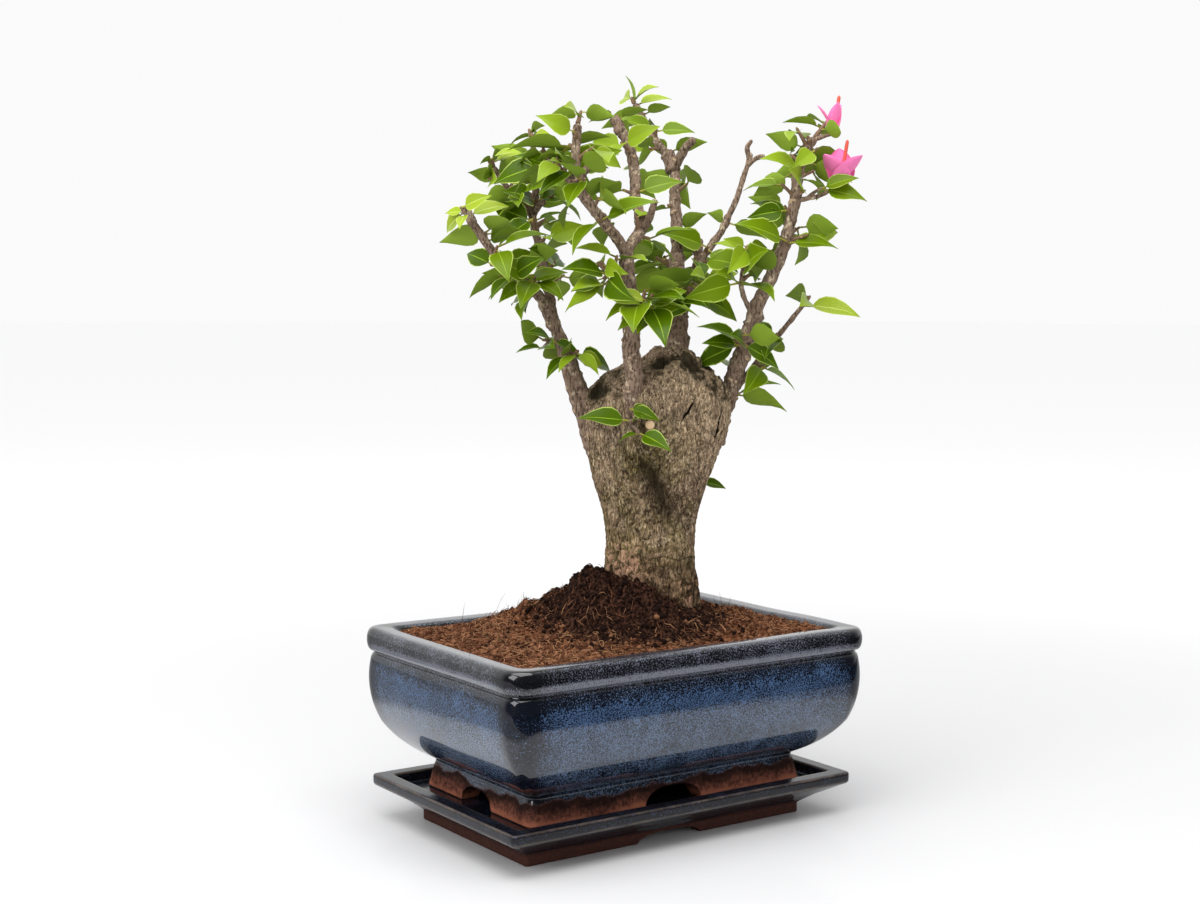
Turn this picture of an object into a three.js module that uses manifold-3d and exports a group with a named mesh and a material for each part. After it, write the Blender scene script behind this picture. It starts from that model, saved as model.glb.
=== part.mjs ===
// A bougainvillea bonsai in a glazed pot that stands in its drip tray. Millimetres, +Z up.
// The origin lies on the table under the middle of the pot, whose long side runs along X.
import * as THREE from 'three';
import { mergeVertices } from 'three/addons/utils/BufferGeometryUtils.js';
import Module from 'manifold-3d';

const wasm = await Module();
wasm.setup();

const clearance = 0.3; // between pieces that touch
const smallestEdge = 0.02; // shorter edges are closed up after a join
const mergeWithin = 1e-4; // corners nearer than this are one
const overcut = 1; // how far a cutter starts outside what it cuts
const goldenAngle = 2.39996; // between one spur on a stem and the next
const steep = 0.97; // a heading with a larger rise counts as upright
const wave = { perSeed: 12.9898, perIndex: 78.233, height: 43758.5453 }; // makes repeatable numbers
const draws = { perTuft: 100, perLeaf: 10, firstTurn: 7777 }; // where each tuft's numbers start
const sides = { bough: 8, stem: 6, twig: 4, spur: 3, tube: 5, blade: 3 };
const thickestTwig = 2; // a mass whose first arm is thicker has stems, not twigs
const up = new THREE.Vector3(0, 0, 1);
const sideways = new THREE.Vector3(1, 0, 0);

// Half sizes are those of the lip's widest line, and setbacks are measured inward from it
const pot = {
  halfLength: 125,
  halfWidth: 86.5,
  cornerRadius: 14,
  leastCornerRadius: 6,
  columns: 24,
  foot: { z: 20.3, setback: 28.5, topZ: 31, topSetback: 30.5, wall: 12, recessZ: 31, taper: 3 },
  body: { neckZ: 36.5, bellyZ: 84, bellySetback: 1, archRadius: 52, topZ: 97.5, steps: 7 },
  groove: { z: 99.3, setback: 5 },
  lip: { z: 106.5, halfHeight: 6.9, bulge: 6, firstTurn: -60, lastTurn: 90, steps: 5 },
  hollow: [[38, 42], [26, 50], [16, 66], [16, 120]],
  longArch: { halfWidth: 20, height: 10.5 },
  shortArch: { halfWidth: 16, height: 10 },
};

const tray = {
  shiftX: -2,
  halfLength: 119,
  halfWidth: 78.7,
  cornerRadius: 3,
  leastCornerRadius: 2,
  columns: 12,
  wall: [[22, 0], [22, 6], [14.4, 11.6], [1, 19.2], [0, 20.5], [0, 25], [0.8, 25.8]],
  hollow: [[12, 20], [9, 26.5]],
  ring: { wall: 8, recessZ: 12.5, taper: 2 },
  arch: { halfWidth: 22, height: 5 },
};

// Shares of a foot arch's height: its rounding, and how far its sides lean in below and above that
const archForm = { round: 0.6, shoulder: 0.2, top: 0.3, steps: 3 };

// The soil lies level at the pot's wall, swells round the trunk and is heaped on its left and in front
const soil = {
  edgeZ: 107,
  swell: { height: 16, reach: 65 },
  heaps: [
    { height: 22, x: -34, y: 0, reachX: 12, reachY: 20 },
    { height: 17, x: -16, y: -24, reachX: 16, reachY: 12 },
  ],
  rings: [0.2, 0.4, 0.55, 0.66, 0.77],
  margin: { width: 40, levelShare: 0.4 },
};

// The tree's own axes: x to the right and y away as it is best seen, z above its ground level
const tree = { x: 26, y: 2, groundZ: 106, turn: -35 };

// relief lists the trunk's swells, hollows and root strands: the turn in degrees and height of each
// one's middle, how far it stands out there, and its half width in degrees and half height
const trunk = {
  columns: 20,
  footZ: 10,
  shoulderZ: 143,
  rows: 10,
  waist: 27.6,
  flare: { size: 4, height: 9 },
  swelling: { size: 15.5, fromZ: 62, toZ: 130 },
  depth: 0.86,
  lean: 4,
  flutes: [[2, 0.04, 1], [5, 0.025, 2]],
  chamfer: { z: 158, x: 7.5, y: -6, halfWidth: 28.5 },
  crest: { z: 170.5, x: 11, y: -4, halfWidth: 11, peakZ: 173 },
  relief: [
    { turn: -88, z: 88, size: -3.2, halfTurn: 14, halfHeight: 24 },
    { turn: -52, z: 100, size: 2.2, halfTurn: 18, halfHeight: 26 },
    { turn: -122, z: 92, size: 2, halfTurn: 16, halfHeight: 24 },
    { turn: -162, z: 97, size: 2.4, halfTurn: 16, halfHeight: 13 },
    { turn: -128, z: 38, size: 2.4, halfTurn: 16, halfHeight: 12 },
    { turn: -54, z: 22, size: 3, halfTurn: 14, halfHeight: 16 },
    { turn: -12, z: 66, size: -2.4, halfTurn: 16, halfHeight: 22 },
    { turn: 20, z: 96, size: 2.2, halfTurn: 18, halfHeight: 26 },
    { turn: 36, z: 24, size: 2.8, halfTurn: 14, halfHeight: 15 },
    { turn: 92, z: 74, size: -3, halfTurn: 15, halfHeight: 28 },
    { turn: 108, z: 24, size: 3, halfTurn: 14, halfHeight: 16 },
    { turn: 146, z: 92, size: 2.6, halfTurn: 18, halfHeight: 28 },
    { turn: 180, z: 52, size: -2.2, halfTurn: 16, halfHeight: 16 },
  ],
};

// A limb's path runs from its root to its tip, with the radius at each
const boughs = {
  bough_left: {
    path: [[-34, -3, 116], [-41, -5, 138], [-47.6, -8, 161], [-64.6, -12, 201]],
    radii: [5.2, 3.9],
  },
  bough_front: {
    path: [[-10.5, -30, 146], [-11.5, -36, 170], [-12.7, -37, 191], [-15.2, -38, 226]],
    radii: [5.6, 4.4],
  },
  bough_back: {
    path: [[15, 8, 160], [17.2, 14, 186], [17.7, 18, 200], [16, 28, 230]],
    radii: [6.4, 4.6],
  },
  bough_right: {
    path: [[44, -1, 136], [49, -4, 153], [54.8, -6, 170], [62.6, -8, 197]],
    radii: [5.4, 4.6],
  },
};

// How spurs and leaves stand, the same on every stem
const habit = {
  spurRadii: [1.1, 0.8],
  tuftSpread: 0.6,
  turnSpread: 0.7,
  spurRise: 0.35,
  spurAhead: 0.25,
  tipSpurOut: 0.3,
  tipSpurRise: 0.3,
  shortestSpur: 0.4,
  oftenExtraLeaf: 0.5,
  tipLeafSize: 0.75,
  leafTwist: 0.9,
  leafSpread: 0.5,
  leastOpening: 46,
  openingRange: 40,
  droop: 0.3,
  liftRange: 0.35,
  shortestLeaf: 0.72,
  lengthRange: 0.5,
  roll: 110,
  sunk: 1.2,
  stagger: 1.4,
  petiole: 0.25,
  sag: 0.16,
  petioleRadius: 0.6,
  stations: [0, 0.2, 0.5, 1],
  bellyHalfWidth: 0.33,
  keel: 0.1,
  fold: 0.3,
};

// Each arm is a stem or a twig with tufts of leaves: how many tufts, where the first may stand
// along it, and the usual length of a spur and of a leaf. A tip leaf has its own heading.
const masses = {
  foliage_left_low: [
    { path: [[-64.6, -12, 201], [-76, -17, 212], [-88, -22, 221.5], [-105, -32, 246]], radii: [3.3, 2.4],
      tufts: 9, first: 0.02, spur: 7, leaf: 23, leaves: 3, seed: 426 },
  ],
  foliage_left_high: [
    { path: [[-57.5, -9, 187], [-63, 6, 219], [-70.7, 22, 250], [-69, 26, 266], [-71, 30, 293]],
      radii: [2.9, 1.9], tufts: 12, first: 0.12, spur: 9, leaf: 24, leaves: 2, seed: 67 },
    { path: [[-70.7, 22, 250], [-81, 17, 260], [-94, 12, 279]], radii: [1.9, 1.5],
      tufts: 5, first: 0.3, spur: 6, leaf: 23, leaves: 3, seed: 601 },
  ],
  foliage_left_foot: [
    { path: [[-48.5, -9, 163], [-47, -15, 166], [-45, -22, 168]], radii: [1.4, 1],
      tufts: 3, first: 0.5, spur: 4, leaf: 22, leaves: 2, seed: 609 },
  ],
  foliage_left_outer: [
    { path: [[-53, -9, 175], [-57, -16, 176], [-62, -22, 177]], radii: [1.4, 1],
      tufts: 3, first: 0.5, spur: 4, leaf: 22, leaves: 2, seed: 438 },
  ],
  foliage_front_left: [
    { path: [[-15.2, -38, 226], [-28.4, -45, 244], [-41, -48, 261.5], [-44, -50, 279], [-43, -46, 298.5]],
      radii: [3.4, 2.4], tufts: 11, first: 0.16, spur: 8, leaf: 27, leaves: 2, seed: 869 },
    { path: [[-41.5, -48, 263], [-50.6, -44, 269.6], [-60.5, -38, 279.6]], radii: [2, 1.5],
      tufts: 4, first: 0.4, spur: 6, leaf: 24, leaves: 3, seed: 734 },
  ],
  foliage_front_top: [
    { path: [[-15.2, -38, 226], [-7, -24, 241], [-9.7, -10, 261], [-11.4, 2, 285], [-19.7, 6, 302]],
      radii: [3.3, 3], tufts: 6, first: 0.1, spur: 6, leaf: 24, leaves: 2, seed: 806 },
    { path: [[-6, -24, 239], [-1.4, -32, 248], [1.3, -36, 257]], radii: [2.2, 1.8] },
  ],
  foliage_front_low_left: [
    { path: [[-14, -38, 208], [-20, -43, 213], [-27, -47, 217]], radii: [1.6, 1.1],
      tufts: 4, first: 0.4, spur: 5, leaf: 28, leaves: 3, seed: 33 },
  ],
  foliage_front_low_right: [
    { path: [[-12.7, -37, 192], [-8, -44, 196], [-2, -50, 200]], radii: [1.6, 1.1],
      tufts: 4, first: 0.4, spur: 5, leaf: 28, leaves: 3, seed: 154 },
  ],
  foliage_back_top: [
    { path: [[16, 28, 230], [15.8, 40, 258], [14.2, 50, 283], [3, 56, 300], [-9.3, 60, 321.6]],
      radii: [4.2, 2], tufts: 10, first: 0.08, spur: 6, leaf: 21, leaves: 2, young: 0.9, seed: 750,
      tipLeaves: [
        { heading: [-0.15, 0, 1], length: 15, roll: 0 },
        { heading: [0.9, 0, 0.35], length: 18, roll: -30 },
      ] },
    { path: [[14.5, 49, 280], [21, 44, 292], [27, 38, 298]], radii: [2.8, 2.3] },
  ],
  foliage_back_low: [
    { path: [[17.5, 17, 198], [24, 10, 204], [31, 4, 209]], radii: [1.6, 1.1],
      tufts: 4, first: 0.4, spur: 5, leaf: 26, leaves: 3, seed: 897 },
  ],
  foliage_back_rear: [
    { path: [[17, 22, 214], [14, 32, 219], [10, 41, 223]], radii: [1.6, 1.1],
      tufts: 4, first: 0.4, spur: 5, leaf: 26, leaves: 3, seed: 251 },
  ],
  foliage_back_side: [
    { path: [[19, 17, 189], [25.4, 28, 209], [29.3, 34, 221], [45, 44, 243]], radii: [2.8, 2.2],
      tufts: 4, first: 0.35, spur: 6, leaf: 24, leaves: 2, seed: 257 },
    { path: [[44, 43.4, 241.5], [55, 49, 266], [63, 54, 291]], radii: [2, 1.6] },
    { path: [[27, 30, 213], [29.5, 36, 225], [31, 41, 238]], radii: [2.6, 2.4] },
  ],
  foliage_right_top: [
    { path: [[62.6, -8, 197], [79, -12, 235], [85, -13, 269], [87, -13, 281.6], [94.5, -12, 294.4]],
      radii: [4.5, 2.2], tufts: 13, first: 0.12, spur: 7, leaf: 26, leaves: 2, seed: 239 },
    { path: [[66, -8, 203], [69.3, 2, 211], [74, 10, 226]], radii: [2.4, 2] },
    { path: [[93.6, -12, 293], [102, -13, 295], [108.5, -12, 297]], radii: [1.3, 0.9], bloom: true },
    { path: [[82, -12.6, 252], [103, -15, 259], [114, -13, 267]], radii: [1.3, 0.9], bloom: true },
  ],
  foliage_right_inner: [
    { path: [[60, -8, 190], [52.3, -18, 207], [53.7, -28, 226.5]], radii: [1.5, 1.2],
      tufts: 4, first: 0.5, spur: 5, leaf: 27, leaves: 3, seed: 648 },
  ],
  foliage_right_foot: [
    { path: [[54, -6, 168], [53, -13, 173], [52, -20, 177]], radii: [1.5, 1.1],
      tufts: 4, first: 0.5, spur: 4, leaf: 25, leaves: 3, seed: 123 },
  ],
  foliage_right_low: [
    { path: [[47, 4, 140], [54, 9, 150], [70.5, 8, 171.4], [90.5, -4, 198]], radii: [2.1, 1.3],
      tufts: 6, first: 0.12, spur: 5, leaf: 25, leaves: 2, young: 0.8, seed: 814,
      tipLeaves: [{ heading: [1, -0.2, -0.05], length: 27, roll: -30 }] },
  ],
  foliage_trunk_front: [
    { path: [[-11.3, -32, 127], [-11.5, -40, 130], [-12, -45, 129]], radii: [1.4, 1.1],
      tipLeaves: [
        { heading: [-1, -0.25, 0.25], length: 26, roll: 50 },
        { heading: [0.75, -0.3, 0.45], length: 20, roll: -50 },
        { heading: [0.6, -0.5, -0.5], length: 20, roll: -25 },
        { heading: [-0.45, -0.6, -0.4], length: 13, roll: 20 },
      ] },
  ],
  foliage_trunk_back: [
    { path: [[12, 22, 86], [24, 30, 88], [33, 30, 89]], radii: [1.3, 0.9],
      tipLeaves: [
        { heading: [1, -0.05, -0.08], length: 13, roll: -40 },
        { heading: [0.2, 0.9, 0.3], length: 12, roll: 10 },
      ] },
  ],
};

const bloom = {
  bracts: 3,
  turn: 0.25,
  length: 17,
  bellyHalfWidth: 0.36,
  opening: 32,
  tube: 17,
  tubeRadii: [1.1, 0.9],
};

const looks = {
  glaze: { color: 0x1d2b45, roughness: 0.25, metalness: 0 },
  darkGlaze: { color: 0x14181f, roughness: 0.25, metalness: 0 },
  earth: { color: 0x4a2c1f, roughness: 0.95, metalness: 0 },
  bark: { color: 0x6f6353, roughness: 0.85, metalness: 0 },
  twigBark: { color: 0x6b5750, roughness: 0.85, metalness: 0 },
  leaf: { color: 0x4d8a32, roughness: 0.5, metalness: 0 },
};

const radians = THREE.MathUtils.degToRad;
const halfTurnInDegrees = 180;
const vector = (numbers) => new THREE.Vector3(...numbers);

// A repeatable number from 0 to 1 for the seed and index
function chance(seed, index) {
  const height = Math.sin(seed * wave.perSeed + index * wave.perIndex) * wave.height;
  return height - Math.floor(height);
}

// The part of a direction that stands square to an axis, as a unit vector
function squareTo(direction, axis) {
  return direction.clone().addScaledVector(axis, -direction.dot(axis)).normalize();
}

function toSolid(geometry) {
  geometry.deleteAttribute('normal');
  geometry.deleteAttribute('uv');
  const merged = mergeVertices(geometry, mergeWithin);
  const vertProperties = merged.attributes.position.array;
  const triVerts = Uint32Array.from(merged.index.array);
  return new wasm.Manifold(new wasm.Mesh({ numProp: 3, vertProperties, triVerts }));
}

function toMesh(name, solid, look) {
  const { vertProperties, triVerts } = solid.getMesh();
  const geometry = new THREE.BufferGeometry();
  geometry.setAttribute('position', new THREE.BufferAttribute(vertProperties, 3));
  geometry.setIndex(new THREE.BufferAttribute(triVerts, 1));
  geometry.computeVertexNormals();
  const mesh = new THREE.Mesh(geometry, new THREE.MeshStandardMaterial(look));
  mesh.name = name;
  return mesh;
}

// Joins solids, fills any sealed hollow and drops any loose scrap
function fuse(solids) {
  const joined = wasm.Manifold.union(solids).simplify(smallestEdge);
  return joined.decompose().reduce((best, body) => (body.volume() > best.volume() ? body : best));
}

// A cylinder whose rings are put where place(column, row) says, with row 0 at the foot.
// ends gives the middles of the first and last rings; a pointed one ends there.
function shaped(columns, rows, place, ends, pointed = false) {
  const geometry = new THREE.CylinderGeometry(pointed ? 0 : 1, 1, rows, columns, rows);
  const position = geometry.attributes.position;
  for (let i = 0; i < position.count; i += 1) {
    const x = position.getX(i);
    const z = position.getZ(i);
    const row = Math.round(position.getY(i) + rows / 2);
    const column = Math.round((Math.atan2(x, z) / (2 * Math.PI) + 1) * columns) % columns;
    const isMiddle = Math.hypot(x, z) < 1e-6;
    const point = isMiddle ? ends[row === 0 ? 0 : 1] : place(column, row);
    position.setXYZ(i, point.x, point.y, point.z);
  }
  return toSolid(geometry);
}

// A rounded rectangle's point: each corner takes an equal share of the columns
function rectanglePoint(column, columns, halfLength, halfWidth, radius) {
  const share = columns / 4;
  const corner = Math.floor(column / share);
  const turn = (corner + (column % share) / (share - 1)) * Math.PI / 2;
  const signX = corner === 0 || corner === 3 ? 1 : -1;
  const signY = corner < 2 ? 1 : -1;
  const x = signX * (halfLength - radius) + radius * Math.cos(turn);
  const y = signY * (halfWidth - radius) + radius * Math.sin(turn);
  return new THREE.Vector2(x, y);
}

// A dish with level rings: each row is its setback from the outline and its height
function dish(outline, wallRows) {
  const rows = wallRows.length - 1;
  const place = (column, row) => {
    const [setback, z] = wallRows[row];
    const radius = Math.max(outline.cornerRadius - setback, outline.leastCornerRadius);
    const { halfLength, halfWidth, columns } = outline;
    const p = rectanglePoint(column, columns, halfLength - setback, halfWidth - setback, radius);
    return new THREE.Vector3(p.x, p.y, z);
  };
  const ends = [vector([0, 0, wallRows[0][1]]), vector([0, 0, wallRows[rows][1]])];
  return shaped(outline.columns, rows, place, ends);
}

// A cutter for a foot ring's arch, with a rounded top, that runs right through along x or y
function archCutter(halfWidth, height, footZ, reach, alongX) {
  const shape = new THREE.Shape();
  const round = height * archForm.round;
  const shoulder = halfWidth - height * archForm.shoulder;
  const top = halfWidth - height * archForm.top;
  shape.moveTo(-halfWidth, -overcut);
  shape.lineTo(halfWidth, -overcut);
  shape.lineTo(shoulder, height - round);
  shape.quadraticCurveTo(top, height, top - round, height);
  shape.lineTo(round - top, height);
  shape.quadraticCurveTo(-top, height, -shoulder, height - round);
  const settings = { depth: 2 * reach, bevelEnabled: false, curveSegments: archForm.steps };
  const geometry = new THREE.ExtrudeGeometry(shape, settings);
  geometry.translate(0, 0, -reach);
  geometry.rotateX(Math.PI / 2);
  if (alongX) geometry.rotateZ(Math.PI / 2);
  geometry.translate(0, 0, footZ);
  return toSolid(geometry);
}

// The pot's outside from its foot up: a flared foot, one arch for the body, a groove, a round lip
function potWall() {
  const { foot, body, groove, lip } = pot;
  const wall = [[foot.setback, foot.z], [foot.topSetback, foot.topZ]];
  for (let i = 0; i <= body.steps; i += 1) {
    const z = THREE.MathUtils.lerp(body.neckZ, body.topZ, i / body.steps);
    const rise = z - body.bellyZ;
    wall.push([body.bellySetback + body.archRadius - Math.sqrt(body.archRadius ** 2 - rise ** 2), z]);
  }
  wall.push([groove.setback, groove.z]);
  for (let i = 0; i <= lip.steps; i += 1) {
    const turn = radians(THREE.MathUtils.lerp(lip.firstTurn, lip.lastTurn, i / lip.steps));
    wall.push([lip.bulge * (1 - Math.cos(turn)), lip.z + lip.halfHeight * Math.sin(turn)]);
  }
  return wall;
}

function makePot() {
  const { foot, longArch, shortArch } = pot;
  const recessSetback = foot.setback + foot.wall;
  const reach = pot.halfLength;
  return dish(pot, potWall())
    .subtract(dish(pot, pot.hollow))
    .subtract(dish(pot, [[recessSetback, foot.z - overcut], [recessSetback + foot.taper, foot.recessZ]]))
    .subtract(archCutter(longArch.halfWidth, longArch.height, foot.z, reach, false))
    .subtract(archCutter(shortArch.halfWidth, shortArch.height, foot.z, reach, true));
}

function makeTray() {
  const { ring, arch } = tray;
  const recessSetback = tray.wall[0][0] + ring.wall;
  return dish(tray, tray.wall)
    .subtract(dish(tray, tray.hollow))
    .subtract(dish(tray, [[recessSetback, -overcut], [recessSetback + ring.taper, ring.recessZ]]))
    .subtract(archCutter(arch.halfWidth, arch.height, 0, tray.halfLength, false));
}

const treeGroup = new THREE.Group();
treeGroup.position.set(tree.x, tree.y, tree.groundZ);
treeGroup.rotation.z = radians(tree.turn);
treeGroup.updateMatrix();

// Height of the soil's surface at a place on the pot
function soilHeight(x, y) {
  const near = new THREE.Vector3(x - tree.x, y - tree.y, 0).applyAxisAngle(up, -radians(tree.turn));
  const swell = soil.swell.height * Math.exp(-near.lengthSq() / soil.swell.reach ** 2);
  const heaped = soil.heaps.reduce((sum, heap) => {
    const awaySquared = ((near.x - heap.x) / heap.reachX) ** 2 + ((near.y - heap.y) / heap.reachY) ** 2;
    return sum + heap.height * Math.exp(-awaySquared / 2);
  }, 0);
  const fromWall = Math.min(pot.halfWidth - Math.abs(y), pot.halfLength - Math.abs(x));
  const inward = Math.min(1, fromWall / soil.margin.width);
  return soil.edgeZ + (swell + heaped) * THREE.MathUtils.smoothstep(inward, soil.margin.levelShare, 1);
}

// Soil fills the pot's hollow, and its top is worked in rings that close in on the trunk
function makeSoil(trunkSocket) {
  const below = pot.hollow.slice(0, -1).map(([setback, z]) => [setback + clearance, z + clearance]);
  const edgeSetback = pot.hollow.at(-1)[0] + clearance;
  const sideRows = [...below, [edgeSetback, soil.edgeZ]];
  const rows = sideRows.length - 1 + soil.rings.length;
  const place = (column, row) => {
    const [setback, z] = sideRows[Math.min(row, sideRows.length - 1)];
    const radius = Math.max(pot.cornerRadius - setback, pot.leastCornerRadius);
    const { columns, halfLength, halfWidth } = pot;
    const edge = rectanglePoint(column, columns, halfLength - setback, halfWidth - setback, radius);
    if (row < sideRows.length) return new THREE.Vector3(edge.x, edge.y, z);
    const share = soil.rings[row - sideRows.length];
    edge.lerp(new THREE.Vector2(tree.x, tree.y), share);
    return new THREE.Vector3(edge.x, edge.y, soilHeight(edge.x, edge.y));
  };
  const ends = [vector([0, 0, sideRows[0][1]]), vector([tree.x, tree.y, soilHeight(tree.x, tree.y)])];
  return fuse([shaped(pot.columns, rows, place, ends).subtract(trunkSocket)]);
}

// How far the trunk's side stands out at a turn and height: the sum of its bell-shaped relief
function reliefAt(angle, z) {
  return trunk.relief.reduce((sum, bump) => {
    const turned = THREE.MathUtils.radToDeg(angle) - bump.turn + halfTurnInDegrees;
    const away = THREE.MathUtils.euclideanModulo(turned, 2 * halfTurnInDegrees) - halfTurnInDegrees;
    const squared = (away / bump.halfTurn) ** 2 + ((z - bump.z) / bump.halfHeight) ** 2;
    return sum + bump.size * Math.exp(-squared);
  }, 0);
}

// The trunk: flared at the foot, swelling to a broad shoulder, with a chamfered top.
// spare makes it that much larger all round.
function makeTrunk(spare) {
  const { flare, swelling, chamfer, crest } = trunk;
  const height = trunk.shoulderZ - trunk.footZ;
  const ring = (angle, x, y, halfWidth, z) => {
    const flute = (sum, [count, size, turn]) => sum + size * Math.cos(count * angle + turn);
    const reach = halfWidth * trunk.flutes.reduce(flute, 1) + reliefAt(angle, z) + spare;
    return new THREE.Vector3(x + reach * Math.cos(angle), y + reach * trunk.depth * Math.sin(angle), z);
  };
  const place = (column, row) => {
    const angle = column / trunk.columns * 2 * Math.PI;
    if (row > trunk.rows) {
      const top = row === trunk.rows + 1 ? chamfer : crest;
      return ring(angle, top.x, top.y, top.halfWidth, top.z + spare);
    }
    const along = row / trunk.rows;
    const z = trunk.footZ + along * height;
    const rootFlare = flare.size * Math.exp(-along * height / flare.height);
    const swell = swelling.size * THREE.MathUtils.smoothstep(z, swelling.fromZ, swelling.toZ);
    const lift = row === 0 ? -spare : 0;
    return ring(angle, trunk.lean * along ** 2, 0, trunk.waist + rootFlare + swell, z + lift);
  };
  const ends = [vector([0, 0, trunk.footZ - spare]), vector([crest.x, crest.y, crest.peakZ + spare])];
  return shaped(trunk.columns, trunk.rows + 2, place, ends);
}

const curveThrough = (points) => new THREE.CatmullRomCurve3(points.map(vector), false, 'catmullrom', 0.5);

// One tapering limb along its path, spare larger all round
function makeLimb({ path, radii }, columns, spare) {
  const curve = curveThrough(path);
  const rows = path.length === 2 ? 1 : 2 * (path.length - 1);
  const middle = (row) => {
    const overrun = row === 0 ? -spare : row === rows ? spare : 0;
    return curve.getPoint(row / rows).addScaledVector(curve.getTangent(row / rows), overrun);
  };
  const place = (column, row) => {
    const axis = curve.getTangent(row / rows);
    const across = squareTo(sideways, axis);
    const angle = column / columns * 2 * Math.PI;
    const radius = THREE.MathUtils.lerp(radii[0], radii[1], row / rows) + spare;
    return middle(row)
      .addScaledVector(across, radius * Math.cos(angle))
      .addScaledVector(axis.cross(across), radius * Math.sin(angle));
  };
  return shaped(columns, rows, place, [middle(0), middle(rows)]);
}

// A leaf blade with its stalk: three-sided, keeled below, folded up along its middle and sagging
function makeLeaf({ root, heading, face, length }, bellyHalfWidth) {
  const reach = length * (1 + habit.petiole);
  const side = face.clone().cross(heading);
  const belly = length * bellyHalfWidth;
  const halfWidths = [habit.petioleRadius, habit.petioleRadius, belly];
  const keels = [habit.petioleRadius, habit.petioleRadius, habit.keel * belly + habit.petioleRadius];
  const middle = (station) => root.clone()
    .addScaledVector(heading, reach * station)
    .addScaledVector(face, -habit.sag * reach * station ** 2);
  const place = (column, row) => {
    const corner = 2 * Math.PI / sides.blade;
    const lift = row === 2 && column > 0 ? habit.fold * belly : 0;
    return middle(habit.stations[row])
      .addScaledVector(face, lift - keels[row] * Math.cos(column * corner))
      .addScaledVector(side, halfWidths[row] * Math.sin(column * corner) / Math.sin(corner));
  };
  return shaped(sides.blade, habit.stations.length - 1, place, [middle(0), middle(1)], true);
}

// The blade's upper side: as level as its heading allows, then rolled about the heading
function leafFace(heading, roll) {
  const level = squareTo(Math.abs(heading.z) < steep ? up : sideways, heading);
  const side = level.clone().cross(heading);
  return level.multiplyScalar(Math.cos(roll)).addScaledVector(side, Math.sin(roll));
}

// One tuft on an arm: its spur, and its leaves set round the spur's tip by the seeded rule
function growTuft(arm, curve, k) {
  const draw = (index) => chance(arm.seed, draws.perTuft * k + index);
  const isLast = k === arm.tufts - 1;
  const place = k + (1 - habit.tuftSpread) / 2 + habit.tuftSpread * draw(0);
  const along = isLast ? 1 : arm.first + (1 - arm.first) * place / arm.tufts;
  const axis = curve.getTangent(along);
  const across = squareTo(sideways, axis);
  const firstTurn = 2 * Math.PI * chance(arm.seed, draws.firstTurn);
  const turn = firstTurn + k * goldenAngle + habit.turnSpread * (draw(1) - 0.5);
  const out = across.clone().multiplyScalar(Math.cos(turn))
    .addScaledVector(axis.clone().cross(across), Math.sin(turn));
  const heading = isLast
    ? axis.clone().addScaledVector(out, habit.tipSpurOut).addScaledVector(up, habit.tipSpurRise).normalize()
    : out.clone().addScaledVector(up, habit.spurRise).addScaledVector(axis, habit.spurAhead).normalize();
  const radius = THREE.MathUtils.lerp(arm.radii[0], arm.radii[1], along);
  const start = curve.getPoint(along);
  const tip = start.clone().addScaledVector(heading, radius + arm.spur * (habit.shortestSpur + draw(2)));
  const count = arm.leaves + (draw(3) > habit.oftenExtraLeaf ? 1 : 0);
  const size = arm.leaf * (isLast ? arm.young ?? habit.tipLeafSize : 1);
  const first = squareTo(Math.abs(heading.z) < steep ? up : across, heading);
  const second = heading.clone().cross(first);
  const leaves = [];
  for (let j = 0; j < count; j += 1) {
    const pick = (index) => draw(draws.perLeaf * (j + 1) + index);
    const spread = j + habit.leafSpread * (pick(0) - 0.5);
    const round = 2 * Math.PI * spread / count + k * habit.leafTwist;
    const opening = radians(habit.leastOpening + habit.openingRange * pick(1));
    const leafHeading = heading.clone().multiplyScalar(Math.cos(opening))
      .addScaledVector(first, Math.sin(opening) * Math.cos(round))
      .addScaledVector(second, Math.sin(opening) * Math.sin(round))
      .addScaledVector(up, habit.liftRange * pick(2) - habit.droop)
      .normalize();
    const face = leafFace(leafHeading, radians(habit.roll) * (pick(4) - 0.5));
    const root = tip.clone().addScaledVector(heading, -habit.sunk - j * habit.stagger);
    const length = size * (habit.shortestLeaf + habit.lengthRange * pick(3));
    leaves.push({ root, heading: leafHeading, face, length });
  }
  return { spur: { path: [start.toArray(), tip.toArray()], radii: habit.spurRadii }, leaves };
}

// Leaves with a heading of their own at an arm's tip
function tipLeaves(arm, curve) {
  const root = curve.getPoint(1).addScaledVector(curve.getTangent(1), -habit.sunk);
  return (arm.tipLeaves ?? []).map(({ heading, length, roll }) => {
    const unit = vector(heading).normalize();
    return { root, heading: unit, face: leafFace(unit, radians(roll)), length };
  });
}

// Three bracts round a slim tube at an arm's tip
function bloomSolids(curve) {
  const tip = curve.getPoint(1);
  const solids = [];
  for (let i = 0; i < bloom.bracts; i += 1) {
    const turn = (i + bloom.turn) / bloom.bracts * 2 * Math.PI;
    const out = new THREE.Vector3(Math.cos(turn), Math.sin(turn), 0);
    const opening = radians(bloom.opening);
    const heading = up.clone().multiplyScalar(Math.cos(opening)).addScaledVector(out, Math.sin(opening));
    const face = squareTo(out.negate(), heading);
    const root = tip.clone().addScaledVector(heading, -habit.sunk);
    solids.push(makeLeaf({ root, heading, face, length: bloom.length }, bloom.bellyHalfWidth));
  }
  const tubeEnd = tip.clone().addScaledVector(up, bloom.tube);
  const tubeStart = tip.clone().addScaledVector(up, -habit.sunk);
  const tube = { path: [tubeStart.toArray(), tubeEnd.toArray()], radii: bloom.tubeRadii };
  solids.push(makeLimb(tube, sides.tube, 0));
  return solids;
}

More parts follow.
